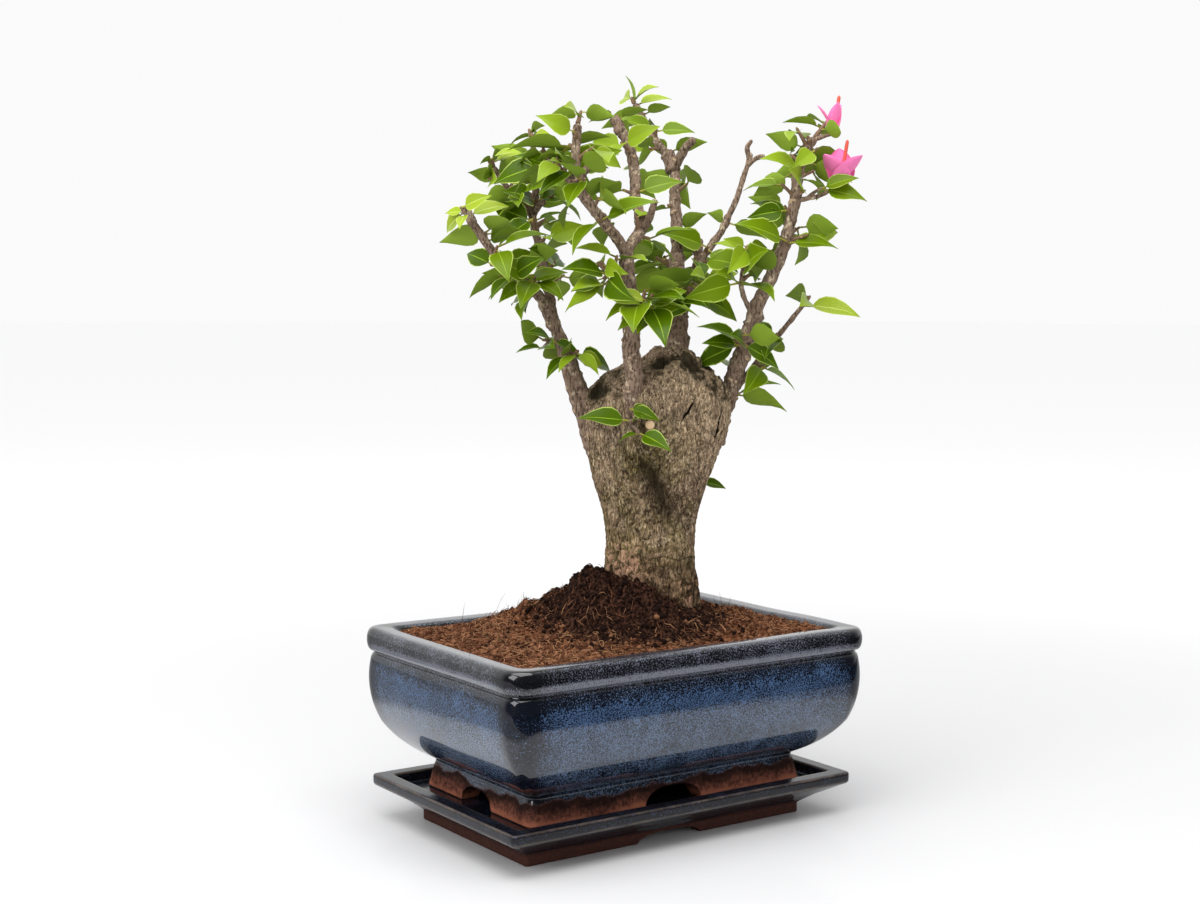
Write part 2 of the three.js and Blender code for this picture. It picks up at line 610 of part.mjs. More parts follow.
function boxesMeet(a, b, gap) {
  return [0, 1, 2].every((i) => a.min[i] < b.max[i] + gap && b.min[i] < a.max[i] + gap);
}

// Whether a solid comes within the clearance of any other listed solid
function touches(solid, others) {
  const box = solid.boundingBox();
  return others.some((other) => boxesMeet(box, other.box, clearance)
    && solid.minGap(other.solid, 2 * clearance) < clearance);
}

// Whether a solid stays over the pot's plan
function staysOverPot(solid) {
  const positions = solid.getMesh().vertProperties;
  const point = new THREE.Vector3();
  for (let i = 0; i < positions.length; i += 3) {
    point.fromArray(positions, i).applyMatrix4(treeGroup.matrix);
    if (Math.abs(point.x) > pot.halfLength || Math.abs(point.y) > pot.halfWidth) return false;
  }
  return true;
}

const boxed = (owner, solid) => ({ owner, solid, box: solid.boundingBox() });
const stocked = { solids: [], sockets: [] };

// Cuts a limb clear of the limbs made before it, and keeps a larger copy to cut later ones
function addWood(owner, limbs, columns) {
  const whole = wasm.Manifold.union(limbs.map((limb) => makeLimb(limb, columns, 0)));
  const cut = stocked.sockets.reduce((solid, socket) => solid.subtract(socket), whole);
  const solid = fuse([cut]);
  stocked.solids.push(boxed(owner, solid));
  stocked.sockets.push(...limbs.map((limb) => makeLimb(limb, columns, clearance)));
  return solid;
}

// Adds an arm's spurs, leaves and blooms to a mass. A leaf that would touch another piece, an
// earlier tuft or the air beyond the pot's plan is skipped.
function addLeaves(owner, arm, grown) {
  const curve = curveThrough(arm.path);
  const others = stocked.solids.filter((entry) => entry.owner !== owner);
  const accept = (solid, obstacles) => {
    const isClear = staysOverPot(solid) && !touches(solid, obstacles);
    if (isClear) grown.push(boxed(owner, solid));
    return isClear;
  };
  for (let k = 0; k < (arm.tufts ?? 0); k += 1) {
    const { spur, leaves } = growTuft(arm, curve, k);
    const obstacles = [...others, ...grown];
    if (accept(makeLimb(spur, sides.spur, 0), others)) {
      leaves.forEach((leaf) => accept(makeLeaf(leaf, habit.bellyHalfWidth), obstacles));
    }
  }
  tipLeaves(arm, curve).forEach((leaf) => accept(makeLeaf(leaf, habit.bellyHalfWidth), others));
  if (arm.bloom) bloomSolids(curve).forEach((solid) => accept(solid, others));
}

const part = new THREE.Group();
const trayMesh = toMesh('tray', makeTray(), looks.darkGlaze);
trayMesh.position.x = tray.shiftX;
const trunkSolid = makeTrunk(0);
const trunkSocket = makeTrunk(clearance);
const soilSolid = makeSoil(trunkSocket.transform(treeGroup.matrix.toArray()));
const potMesh = toMesh('pot', makePot(), looks.glaze);
part.add(trayMesh, potMesh, toMesh('soil', soilSolid, looks.earth), treeGroup);
treeGroup.add(toMesh('trunk', trunkSolid, looks.bark));
stocked.solids.push(boxed('trunk', trunkSolid));
stocked.sockets.push(trunkSocket);

for (const [name, limb] of Object.entries(boughs)) {
  treeGroup.add(toMesh(name, addWood(name, [limb], sides.bough), looks.twigBark));
}

const woods = {};
for (const [name, arms] of Object.entries(masses)) {
  const isStem = arms[0].radii[0] > thickestTwig;
  woods[name] = addWood(name, arms, isStem ? sides.stem : sides.twig);
}
for (const [name, arms] of Object.entries(masses)) {
  const grown = [];
  arms.forEach((arm) => addLeaves(name, arm, grown));
  stocked.solids.push(...grown);
  treeGroup.add(toMesh(name, fuse([woods[name], ...grown.map((entry) => entry.solid)]), looks.leaf));
}

export default part;
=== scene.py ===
import itertools
import math

import bpy
import numpy as np
from mathutils import Matrix


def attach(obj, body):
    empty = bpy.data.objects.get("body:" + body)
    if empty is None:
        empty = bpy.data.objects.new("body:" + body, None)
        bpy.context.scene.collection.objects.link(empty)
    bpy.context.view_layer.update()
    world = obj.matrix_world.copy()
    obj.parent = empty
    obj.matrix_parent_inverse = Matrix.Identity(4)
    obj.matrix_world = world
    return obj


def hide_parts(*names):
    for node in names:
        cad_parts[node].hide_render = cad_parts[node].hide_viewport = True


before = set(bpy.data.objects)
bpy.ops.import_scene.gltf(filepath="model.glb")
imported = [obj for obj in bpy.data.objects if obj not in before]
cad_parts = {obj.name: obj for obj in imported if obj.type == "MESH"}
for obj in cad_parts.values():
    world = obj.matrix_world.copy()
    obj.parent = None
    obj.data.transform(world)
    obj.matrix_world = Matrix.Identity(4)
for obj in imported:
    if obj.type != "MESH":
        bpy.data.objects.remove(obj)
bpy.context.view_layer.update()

millimetre = 0.001  # sizes below are in millimetres, meshes in metres
goldenAngle = 2.39996
upward = np.array([0.0, 0.0, 1.0])
sideways = np.array([1.0, 0.0, 0.0])
levelPart = (1, 1, 0)  # leaves a direction's level part
nearlyAlong = 0.97  # directions with a larger product count as the same
tree = {"foot": (26, 2, 106), "turn": -35}  # its own axes: x right, y away, z above ground as best seen


# Arrays of points and directions

# Directions divided by their lengths
def unit(vectors):
    return vectors / np.linalg.norm(vectors, axis=-1, keepdims=True)


# The part of a direction that stands square to an axis
def squareTo(direction, axis):
    return unit(direction - (direction * axis).sum(-1, keepdims=True) * axis)


# Rises smoothly from 0 at low to 1 at high
def ease(value, low, high):
    share = np.clip((value - low) / (high - low), 0, 1)
    return share * share * (3 - 2 * share)


# A bell of height 1 and the given half width
def bell(value, halfWidth):
    return np.exp(-(value / halfWidth) ** 2)


# The fraction of a steep sine wave: as good as a draw from 0 to 1, and the same each time
def waveFraction(turn):
    wave = np.sin(turn) * 43758.5453
    return wave - np.floor(wave)


# A repeatable number from 0 to 1 for a seed and an index
def chance(seed, index):
    return waveFraction(seed * 12.9898 + index * 78.233)


# Smooth noise from -1 to 1: random heights on a cubic lattice of that size, eased in between
def lumps(points, size, seed):
    scaled = points / np.asarray(size, float)
    cell = np.floor(scaled)
    share = ease(scaled - cell, 0, 1)
    total = 0
    for corner in itertools.product((0, 1), repeat=3):
        weight = np.prod(np.where(corner, share, 1 - share), axis=-1)
        total = total + weight * waveFraction((cell + corner) @ (127.1, 311.7, 74.7) + seed * 17.31)
    return 2 * total - 1


# Points from the tree's own axes to the part's
def onTree(points):
    turn = math.radians(tree["turn"])
    turned = [[math.cos(turn), -math.sin(turn), 0], [math.sin(turn), math.cos(turn), 0], [0, 0, 1]]
    return points @ np.transpose(turned) + tree["foot"]


# Points on a smooth curve through a path's points: between each two, a cubic with half-step slopes
def curveAt(path, shares):
    points = np.asarray(path, float)
    padded = np.vstack([2 * points[0] - points[1], points, 2 * points[-1] - points[-2]])
    place = np.clip(np.asarray(shares, float), 0, 1) * (len(points) - 1)
    span = np.minimum(place.astype(int), len(points) - 2)
    w = (place - span)[..., None]
    before, start, end, after = (padded[span + i] for i in range(4))
    rise, fall = (end - before) / 2, (after - start) / 2
    return ((2 * w**3 - 3 * w**2 + 1) * start + (w**3 - 2 * w**2 + w) * rise
            + (3 * w**2 - 2 * w**3) * end + (w**3 - w**2) * fall)


# The curve's direction there: from a point just before to a point just after
def headingAt(path, shares):
    shares, step = np.asarray(shares, float), 1e-4
    return unit(curveAt(path, shares + step) - curveAt(path, shares - step))


# A limb's radius there: run evenly from root to tip
def taper(radii, share):
    return radii[0] + (radii[1] - radii[0]) * share


# Meshes

# Faces of closed tubes, count of them, with rows rings of columns points: quads, then both ends
def tubeFaces(count, rows, columns):
    ring = np.arange(columns)
    after = np.roll(ring, -1)
    row = np.arange(rows - 1)[:, None] * columns
    quads = np.stack([row + ring, row + after, row + columns + after, row + columns + ring], -1)
    shift = np.arange(count)[:, None, None] * rows * columns
    ends = [ring[::-1], ring + (rows - 1) * columns]
    return [(quads.reshape(1, -1, 4) + shift).reshape(-1, 4),
            *[(end + shift).reshape(-1, columns) for end in ends]]


# Several surfaces as one: vertices, faces and each face's finish number
def joined(surfaces):
    starts = np.cumsum([0, *[len(vertices) for vertices, faces, marks in surfaces[:-1]]])
    vertices = np.concatenate([surface[0] for surface in surfaces])
    faces = [face + start for surface, start in zip(surfaces, starts) for face in surface[1]]
    return vertices, faces, [mark for surface in surfaces for mark in surface[2]]


# A grid (tubes, rows, columns, 3) as a closed surface with one finish
def tubes(grid, mark=0):
    faces = tubeFaces(*grid.shape[:3])
    return grid.reshape(-1, 3), faces, [np.full(len(face), mark) for face in faces]


# A finished piece: a smooth mesh with its values as attributes and its finishes, put in the frame
def makePiece(name, surface, finishes, nodes=(), values=None, sharpAngle=None):
    vertices, faces, marks = surface
    corners = np.concatenate([face.ravel() for face in faces])
    sizes = np.concatenate([np.full(len(face), face.shape[1]) for face in faces])
    mesh = bpy.data.meshes.new(name)
    mesh.vertices.add(len(vertices))
    mesh.vertices.foreach_set("co", (vertices * millimetre).astype(np.float32).ravel())
    mesh.loops.add(len(corners))
    mesh.loops.foreach_set("vertex_index", corners.astype(np.int32))
    mesh.polygons.add(len(sizes))
    mesh.polygons.foreach_set("loop_start", (np.cumsum(sizes) - sizes).astype(np.int32))
    mesh.polygons.foreach_set("material_index", np.concatenate(marks).astype(np.int32))
    mesh.polygons.foreach_set("use_smooth", np.ones(len(sizes), bool))
    mesh.update(calc_edges=True)
    for key, value in (values or {}).items():
        attribute = mesh.attributes.new(key, "FLOAT", "POINT")
        attribute.data.foreach_set("value", value.astype(np.float32).ravel())
    if sharpAngle:
        mesh.set_sharp_from_angle(angle=math.radians(sharpAngle))
    for finish in finishes:
        mesh.materials.append(finish)
    piece = bpy.data.objects.new(name, mesh)
    bpy.context.scene.collection.objects.link(piece)
    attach(piece, "root")
    if nodes:
        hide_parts(*nodes)
    print(name, len(vertices), "points", int((sizes - 2).sum()), "triangles")


# Finishes

# A colour as seen, from 0 to 255, as the linear light that a shader takes
def rgb(red, green, blue):
    levels = np.array([red, green, blue]) / 255
    linear = np.where(levels <= 0.04045, levels / 12.92, ((levels + 0.055) / 1.055) ** 2.4)
    return (*linear.tolist(), 1.0)


# One output of a node: arithmetic on it adds Math nodes
class Socket:
    def __init__(self, finish, output):
        self.finish, self.output = finish, output

    def maths(self, operation, *values):
        return self.finish.node("ShaderNodeMath", {"operation": operation}, dict(enumerate(values)))

    def __add__(self, other):
        return self.maths("ADD", self, other)

    def __sub__(self, other):
        return self.maths("SUBTRACT", self, other)

    def __rsub__(self, other):
        return self.maths("SUBTRACT", other, self)

    def __mul__(self, other):
        return self.maths("MULTIPLY", self, other)

    def __abs__(self):
        return self.maths("ABSOLUTE", self)

    __radd__ = __add__
    __rmul__ = __mul__


# A material, or the world, built node by node
class Finish:
    def __init__(self, name, kind="materials"):
        self.owner = getattr(bpy.data, kind).new(name)
        self.owner.use_nodes = True
        self.owner.node_tree.nodes.clear()

    # Any node: its type, its settings, its sockets' values or links, and which output is wanted
    def node(self, kind, settings=None, sockets=None, output=0):
        nodeTree = self.owner.node_tree
        made = nodeTree.nodes.new(kind)
        for key, value in (settings or {}).items():
            setattr(made, key, value)
        for key, value in (sockets or {}).items():
            if isinstance(value, Socket):
                nodeTree.links.new(value.output, made.inputs[key])
            else:
                made.inputs[key].default_value = value
        return Socket(self, made.outputs[output]) if made.outputs else None

    # The place on the object, stretched
    def place(self, stretch=(1, 1, 1)):
        spot = self.node("ShaderNodeTexCoord", output="Object")
        return self.node("ShaderNodeMapping", {}, {"Vector": spot, "Scale": stretch})

    # Noise of so many lumps to the metre
    def noise(self, perMetre, detail=3.0, roughness=0.5, stretch=(1, 1, 1), twist=0.0):
        sockets = {"Vector": self.place(stretch), "Scale": perMetre, "Detail": detail,
                   "Roughness": roughness, "Distortion": twist}
        return self.node("ShaderNodeTexNoise", {}, sockets)

    # A value that the surface's points carry
    def value(self, name):
        return self.node("ShaderNodeAttribute", {"attribute_name": name}, output="Fac")

    # One axis of the place, in metres
    def axis(self, name):
        return self.node("ShaderNodeSeparateXYZ", {}, {0: self.place()}, output=name)

    # Runs smoothly from 0 at low to 1 at high
    def ease(self, value, low, high):
        sockets = {"Value": value, "From Min": low, "From Max": high}
        return self.node("ShaderNodeMapRange", {"interpolation_type": "SMOOTHSTEP"}, sockets)

    # Rises over the first two heights and falls again over the last two
    def band(self, value, low, full, stillFull, high):
        return self.ease(value, low, full) * (1 - self.ease(value, stillFull, high))

    # The first colour run to the second by a share
    def mix(self, share, first, second):
        sockets = {0: share, 6: first, 7: second}
        return self.node("ShaderNodeMix", {"data_type": "RGBA"}, sockets, output=2)

    # Colours laid over a first one in turn, each by its own share
    def layered(self, color, *layers):
        for share, over in layers:
            color = self.mix(share, color, over if isinstance(over, Socket) else rgb(*over))
        return color

    # A surface tilted by the slope of a height
    def bump(self, height, strength, depth):
        return self.node("ShaderNodeBump", {}, {"Height": height, "Strength": strength, "Distance": depth})

    # The sockets of one shader, as the finished material
    def surface(self, **sockets):
        shader = self.node("ShaderNodeBsdfPrincipled", {}, sockets)
        self.node("ShaderNodeOutputMaterial", {}, {"Surface": shader})
        return self.owner


# One colour all over
def plainFinish(name, color, roughness, **more):
    plain = {"Base Color": rgb(*color), "Roughness": roughness, "Specular IOR Level": 0.1}
    return Finish(name).surface(**{**plain, **more})


# Several plain finishes of one roughness, by their names
def plainFinishes(colors, roughness, **more):
    return [plainFinish(name, color, roughness, **more) for name, color in colors.items()]


# Pot

pot = {
    "half": (125, 86.5),
    "corner": 14,
    "leastCorner": 6,
    "foot": {"z": 20.3, "setback": 28.5, "topSetback": 30.5, "topZ": 31, "wall": 12, "taper": 3,
             "recessZ": 31},
    "body": {"neckZ": 36.5, "bellyZ": 84, "bellySetback": 1, "archRadius": 52, "topZ": 97.5},
    "groove": (5, 99.3),
    "lip": {"z": 106.5, "halfHeight": 6.9, "bulge": 6, "firstTurn": -60, "squareness": 0.5},
    "inside": [(13, 113), (16, 110.4), (16, 66), (26, 50), (38, 42), (84, 42)],  # setbacks and heights
    "middle": 84,
    "longArch": (20, 10.5),
    "shortArch": (16, 10),
    "archShares": (0.235, 0.33),
    "step": 1.25,
    "rounding": 1.1,
    "unevenness": 0.35,
}


# A profile of setbacks and heights as points a step apart, its corners eased by a running mean
def roundedProfile(points, step, rounding):
    points = np.asarray(points, float)
    lengths = np.linalg.norm(np.diff(points, axis=0), axis=1)
    marks = np.concatenate([[0], np.cumsum(lengths)])
    fineStep = 0.1
    fine = np.linspace(0, marks[-1], int(marks[-1] / fineStep))
    dense = np.stack([np.interp(fine, marks, points[:, i]) for i in range(2)], -1)
    reach = max(1, int(rounding / fineStep))
    padded = np.vstack([np.repeat(dense[:1], reach, 0), dense, np.repeat(dense[-1:], reach, 0)])
    sums = np.cumsum(np.vstack([np.zeros((1, 2)), padded]), axis=0)
    smooth = (sums[2 * reach + 1:] - sums[:-2 * reach - 1]) / (2 * reach + 1)
    return smooth[::max(1, int(step / fineStep))]


# Places along a straight side from -1 to 1, closer together where an arch's foot stands
def sideShares(count, archShare):
    close = np.linspace(archShare - 0.05, archShare + 0.05, 9)
    return np.unique(np.round(np.concatenate([np.linspace(-1, 1, count), close, -close]), 4))


# Rounded rectangles, one for each profile row: four straight sides, each followed by its corner's arc.
# Returns the points (rows, columns, 3) and how near each column is to a corner, from 0 to 1.
def rectangleRings(piece, profile, archShares, arcs=11):
    half, corner, leastCorner = (piece[key] for key in ("half", "corner", "leastCorner"))
    setback, height = profile[:, :1], profile[:, 1:]
    radius = np.maximum(corner - setback, leastCorner)
    straightX = half[0] - setback - radius
    straightY = half[1] - setback - radius
    turns = np.linspace(0, np.pi / 2, arcs)[1:-1]
    shares = [sideShares(31, archShares[1]), sideShares(41, archShares[0])]
    rings, nearness = [], []
    for side in range(4):
        along = shares[side % 2]
        angle = side * np.pi / 2
        reach, run = (straightX, straightY) if side % 2 == 0 else (straightY, straightX)
        out = np.concatenate([np.repeat(reach + radius, len(along), 1), reach + radius * np.cos(turns)], 1)
        left = np.concatenate([run * along, run + radius * np.sin(turns)], 1)
        rings.append(np.stack([out * np.cos(angle) - left * np.sin(angle),
                               out * np.sin(angle) + left * np.cos(angle)], -1))
        nearness.append(np.concatenate([np.abs(along), np.ones(len(turns))]))
    flat = np.concatenate(rings, 1)
    tall = np.broadcast_to(height[..., None], (*flat.shape[:2], 1))
    return np.concatenate([flat, tall], -1), np.concatenate(nearness)


# An arch's height at a place: a rounded hump that is upright at its feet
def archHeight(place, halfWidth, height):
    return height * np.sqrt(np.clip(1 - np.abs(place / halfWidth) ** 3, 0, 1))


# A foot ring's heights with its arches: below a level, on the way up the outside, no lower than the arch
def archedFoot(z, arch, below):
    isFoot = (z < below) & (np.arange(len(z)) < len(z) // 2)[:, None]
    return np.where(isFoot, np.maximum(z, arch), z)


# The pot: a profile of foot, belly arc, groove, rounded lip and inside, carried round a rounded rectangle;
# arches are cut into the foot, and slow lumps make it uneven
def potSurface():
    foot, body, lip = pot["foot"], pot["body"], pot["lip"]
    recess = foot["setback"] + foot["wall"]
    rise = np.linspace(body["neckZ"], body["topZ"], 30)
    arch = body["bellySetback"] + body["archRadius"] - np.sqrt(
        body["archRadius"] ** 2 - (rise - body["bellyZ"]) ** 2)
    turn = np.radians(np.linspace(lip["firstTurn"], 90, 24))
    lipOut = lip["bulge"] * (1 - np.cos(turn).clip(0) ** lip["squareness"])
    lipRows = np.stack([lipOut, lip["z"] + lip["halfHeight"] * np.sin(turn)], -1)
    keyPoints = [(pot["middle"], foot["recessZ"]), (recess + foot["taper"], foot["recessZ"]),
                 (recess, foot["z"]), (foot["setback"], foot["z"]), (foot["topSetback"], foot["topZ"]),
                 *np.stack([arch, rise], -1), pot["groove"], *lipRows, *pot["inside"]]
    profile = roundedProfile(keyPoints, pot["step"], pot["rounding"])
    rings, nearness = rectangleRings(pot, profile, pot["archShares"])
    x, y = rings[..., 0], rings[..., 1]
    hump = np.maximum(archHeight(x, *pot["longArch"]), archHeight(y, *pot["shortArch"]))
    z = archedFoot(rings[..., 2], foot["z"] + hump, foot["recessZ"])
    grid = np.stack([x, y, z], -1)
    outward = np.stack([x, y, 0 * x], -1) / pot["half"][0]
    uneven = pot["unevenness"] * lumps(grid, 34, 5) * ease(z, 40, 60)
    grid = grid + outward * uneven[..., None]
    grid[..., 2] += pot["unevenness"] * lumps(grid, 40, 6) * ease(z, 98, 108)
    near = np.broadcast_to(nearness ** 16, z.shape)
    return tubes(grid[None]), {"corner": near}


# Where each band of the glaze fades in and out, as heights in metres
glaze = {
    "streak": (0.072, 0.084, 0.091, 0.0965),
    # low: darker glaze near the foot, a painted reflection of the dark tray and its shadow
    "low": (0.038, 0.056),
    "edge": (0.0965, 0.0985),
    "lipFoot": (0.098, 0.1, 0.1035, 0.1065),
    # lipTop: more pale specks on the lip's top, a painted reflection of the bright wall
    "lipTop": (0.1115, 0.1128),
    # high: darker glaze just under the groove, painted shade of the lip
    "high": (0.087, 0.0965),
    "paleFootEdge": (0.0205, 0.025),
    "bare": (0.0315, 0.0335),
    # the clay darkened at the foot's top: painted shade under the belly
    "footTopShade": (0.024, 0.0305),
    "coat": 1.57,  # how strongly it bends light
}


# Pale specks on a dark ground, as dense as fine and broad noise and the bands say; bare clay below
def glazeFinish():
    finish = Finish("speckled blue glaze")
    height, corner = finish.axis("Z"), finish.value("corner")
    fleck, patch, clayGrain = finish.noise(1250, 2, 0.5), finish.noise(70, 4, 0.6), finish.noise(420, 4, 0.6)
    level = height + (finish.noise(60, 3) - 0.5) * 0.012
    streak, lipFoot = finish.band(level, *glaze["streak"]), finish.band(height, *glaze["lipFoot"])
    # lipTop lightens the lip's top as painted reflection
    edge, lipTop = finish.ease(height, *glaze["edge"]), finish.ease(height, *glaze["lipTop"])
    # low darkens the glaze near the foot as painted reflection of the dark tray and its shadow
    low, high = 1 - finish.ease(level, *glaze["low"]), finish.ease(level, *glaze["high"]) - edge * 0.3
    # high darkens the glaze under the groove as painted shade of the lip
    density = (fleck + patch * 0.3 + 0.15 - low * 0.07 - corner * 0.18 - high * 0.13
               + lipTop * 0.06 + lipFoot * 0.2)
    ground = finish.mix(edge, rgb(7, 11, 21), rgb(10, 11, 15))
    speck = finish.layered(finish.mix(streak, rgb(80, 98, 124), rgb(62, 85, 118)), (edge, (88, 92, 104)))
    glazed = finish.mix(finish.ease(density, 0.66, 0.94), ground, speck)
    bare = 1 - finish.ease(level, *glaze["bare"])
    clay = finish.mix(finish.ease(clayGrain, 0.3, 0.7), rgb(58, 31, 25), rgb(122, 74, 59))
    # the clay paler towards the foot's bottom edge
    clay = finish.mix(finish.ease(level, *glaze["paleFootEdge"]), rgb(150, 92, 70), clay)
    # the clay's top is darkened as painted shade under the belly
    clay = finish.layered(clay, (finish.ease(level, *glaze["footTopShade"]) * bare * 0.88, (22, 11, 10)))
    grain = finish.bump(fleck * (1 - bare) + clayGrain * bare * 2, 0.2, 0.0004)
    return finish.surface(**{
        "Base Color": finish.mix(bare, glazed, clay), "Roughness": 0.25 + bare * 0.5,
        "Specular IOR Level": 0.1, "Coat Weight": 1 - bare, "Coat IOR": glaze["coat"],
        "Coat Roughness": 0.04, "Normal": grain})


surface, values = potSurface()
makePiece("pot_glazed", surface, [glazeFinish()], ["pot"], values)


# Tray

tray = {
    "shiftX": -2,
    "half": (119, 78.7),
    "corner": 3,
    "leastCorner": 2,
    "profile": [(76, 12.5), (32, 12.5), (30, 0), (22, 0), (22, 6), (14.4, 11.6), (1, 19.2), (0, 20.5),
                (0, 25), (0.8, 25.8), (9.3, 25.8), (12, 20), (76, 20)],
    "edges": [(0.4, 25.6), (9.4, 25.6), (0.3, 20)],
    "arch": (22, 5),
    "archShares": (0.24, 0.5),
    "arcs": 7,
    "ringZ": 12,
    "unevenness": 0.3,
    "wear": 0.6,
    "step": 0.9,
    "rounding": 0.7,
}


# The tray: its profile carried round in the same way; wear fades from its three edges by a bell
def traySurface():
    profile = roundedProfile(tray["profile"], tray["step"], tray["rounding"])
    rings = rectangleRings(tray, profile, tray["archShares"], tray["arcs"])[0]
    x, y = rings[..., 0], rings[..., 1]
    z = archedFoot(rings[..., 2], archHeight(x, *tray["arch"]), tray["ringZ"])
    z += tray["unevenness"] * lumps(rings, 45, 8) * ease(z, 15, 22)
    toEdge = np.min([np.hypot(*(profile - edge).T) for edge in tray["edges"]], axis=0)
    worn = np.broadcast_to(bell(toEdge, tray["wear"])[:, None], z.shape)
    return tubes(np.stack([x + tray["shiftX"], y, z], -1)[None]), {"worn": worn}


# A dark ground with sparse specks, pale where worn, and clay under a wandering level
def trayFinish():
    finish = Finish("dark tray glaze")
    fleck, grain = finish.noise(700, 3, 0.6), finish.noise(420, 4, 0.6)
    level = finish.axis("Z") + (finish.noise(90, 3) - 0.5) * 0.004
    speck = finish.ease(fleck + finish.noise(80, 3) * 0.3, 0.68, 0.8)
    glazed = finish.mix(speck * 0.7, rgb(8, 9, 15), rgb(44, 52, 74))
    worn = finish.value("worn") * (0.3 + finish.ease(finish.noise(60, 5, 0.75), 0.4, 0.7) * 0.6)
    bare = 1 - finish.ease(level, 0.0068, 0.0084)
    # the clay is darkened all over as painted shade, the foot ring standing in shadow
    clay = finish.mix(grain, rgb(34, 18, 15), rgb(84, 50, 41))
    color = finish.layered(glazed, (worn * 0.6, (142, 124, 108)), (bare, clay))
    return finish.surface(**{
        "Base Color": color, "Roughness": 0.25 + bare * 0.55 + worn * 0.3, "Specular IOR Level": 0.15,
        "Coat Weight": 0.4 - bare * 0.4, "Coat Roughness": 0.05,
        "Normal": finish.bump(grain * bare + fleck * 0.4, 0.2, 0.0004)})


surface, values = traySurface()
makePiece("tray_glazed", surface, [trayFinish()], ["tray"], values)


# Soil

soil = {
    "edgeZ": 111.2,
    "setback": 16.3,
    "swell": (10.8, 65),
    "heaps": [(22, -34, 0, 12, 20), (20, -10, -24, 22, 12)],  # height, x, y and reach each way
    "bank": (8, -64, 8, 24, 24),  # as a heap, but it leans on the wall
    "levelOff": (24, 12),  # how far from the wall the heaps and the bank level off
    "crumble": 2.4,
    "rings": 140,
    "sideShares": (0.2, 0.3),
    "darkHeap": ((8, -2.6), 62),
    "crumbs": 2400,
    "crumbSize": (0.45, 1.5),
    "fibres": 3600,
    "clear": (4, 30),  # from the wall and the trunk's middle
    "seed": 41,
}


# How far in from the soil's edge a place lies, by the nearest wall
def fromWall(x, y):
    return np.minimum(pot["half"][1] - np.abs(y), pot["half"][0] - np.abs(x)) - soil["setback"]


# The soil's height: a bell-shaped swell round the trunk and heaps beside it, level at the wall
def soilHeight(x, y):
    turn = math.radians(-tree["turn"])
    fromX, fromY = x - tree["foot"][0], y - tree["foot"][1]
    nearX = fromX * math.cos(turn) - fromY * math.sin(turn)
    nearY = fromX * math.sin(turn) + fromY * math.cos(turn)
    swell = soil["swell"][0] * np.exp(-(nearX**2 + nearY**2) / soil["swell"][1] ** 2)

    def heap(height, heapX, heapY, reachX, reachY):
        return height * np.exp(-(((nearX - heapX) / reachX) ** 2 + ((nearY - heapY) / reachY) ** 2) / 2)

    mound = swell + sum(heap(*form) for form in soil["heaps"])
    moundShare, bankShare = (ease(fromWall(x, y), 0, reach) for reach in soil["levelOff"])
    return soil["edgeZ"] + mound * moundShare + heap(*soil["bank"]) * bankShare


# How far a place is into the dark heap, from 1 to 0: a flat-topped bell of its distance from the middle
def heapShare(x, y):
    middle, reach = soil["darkHeap"]
    return np.exp(-(np.hypot(x - middle[0], y - middle[1]) / reach) ** 4)


# The soil's crumbly surface: lumps of three sizes, deeper where the soil is heaped
def crumbledHeight(x, y):
    base = soilHeight(x, y)
    spot = np.stack([x, y, base * 0.5], -1)
    rough = 0.5 + ease(base, 108, 124)
    crumbs = lumps(spot, 9, 1) + 0.7 * lumps(spot, 4, 2) + 0.5 * lumps(spot, 2, 3)
    return base + soil["crumble"] * rough * crumbs * (0.3 + 0.7 * ease(fromWall(x, y), 0, 5))


# The soil: rings that shrink from the pot's wall to the trunk, at the crumbly height, over a plain block
def soilSurface():
    rows = [(30 + soil["setback"], 60), (soil["setback"], 90), (soil["setback"], soil["edgeZ"] - 2)]
    rings = rectangleRings(pot, np.array(rows, float), soil["sideShares"])[0]
    edge = rings[-1, :, :2]
    share = np.linspace(0, 1, soil["rings"])[:, None, None] ** 0.9
    flat = edge + (np.array(tree["foot"][:2]) - edge) * share * 0.99
    top = np.concatenate([flat, crumbledHeight(flat[..., 0], flat[..., 1])[..., None]], -1)
    grid = np.concatenate([rings, top])
    near = heapShare(grid[..., 0], grid[..., 1]) * ease(grid[..., 2], 105, 110)
    return tubes(grid[None]), {"near": near}


# Scattered places on the soil, clear of the wall and the trunk
def soilPlaces(count, seed):
    draws = chance(seed, np.arange(4 * count)).reshape(2, -1)
    offWall, offTrunk = soil["clear"]
    x, y = ((2 * draw - 1) * (half - soil["setback"] - offWall) for draw, half in zip(draws, pot["half"]))
    isClear = np.hypot(x - tree["foot"][0], y - tree["foot"][1]) > offTrunk
    return x[isClear][:count], y[isClear][:count]


# Which finish each scattered bit has: the dark one by its share in the heap, else one of the others
def bitKinds(x, y, seed, darkShare, others):
    index = np.arange(len(x))
    isDark = chance(seed, index) < darkShare * heapShare(x, y)
    return np.where(isDark, 2, (chance(seed + 1, index) * others).astype(int))


# A grid (bits, rows, columns, 3) as one surface, each bit with its own kind of finish
def bitSurface(grid, kinds):
    faces = tubeFaces(*grid.shape[:3])
    return grid.reshape(-1, 3), faces, [np.repeat(kinds, len(face) // len(grid)) for face in faces]


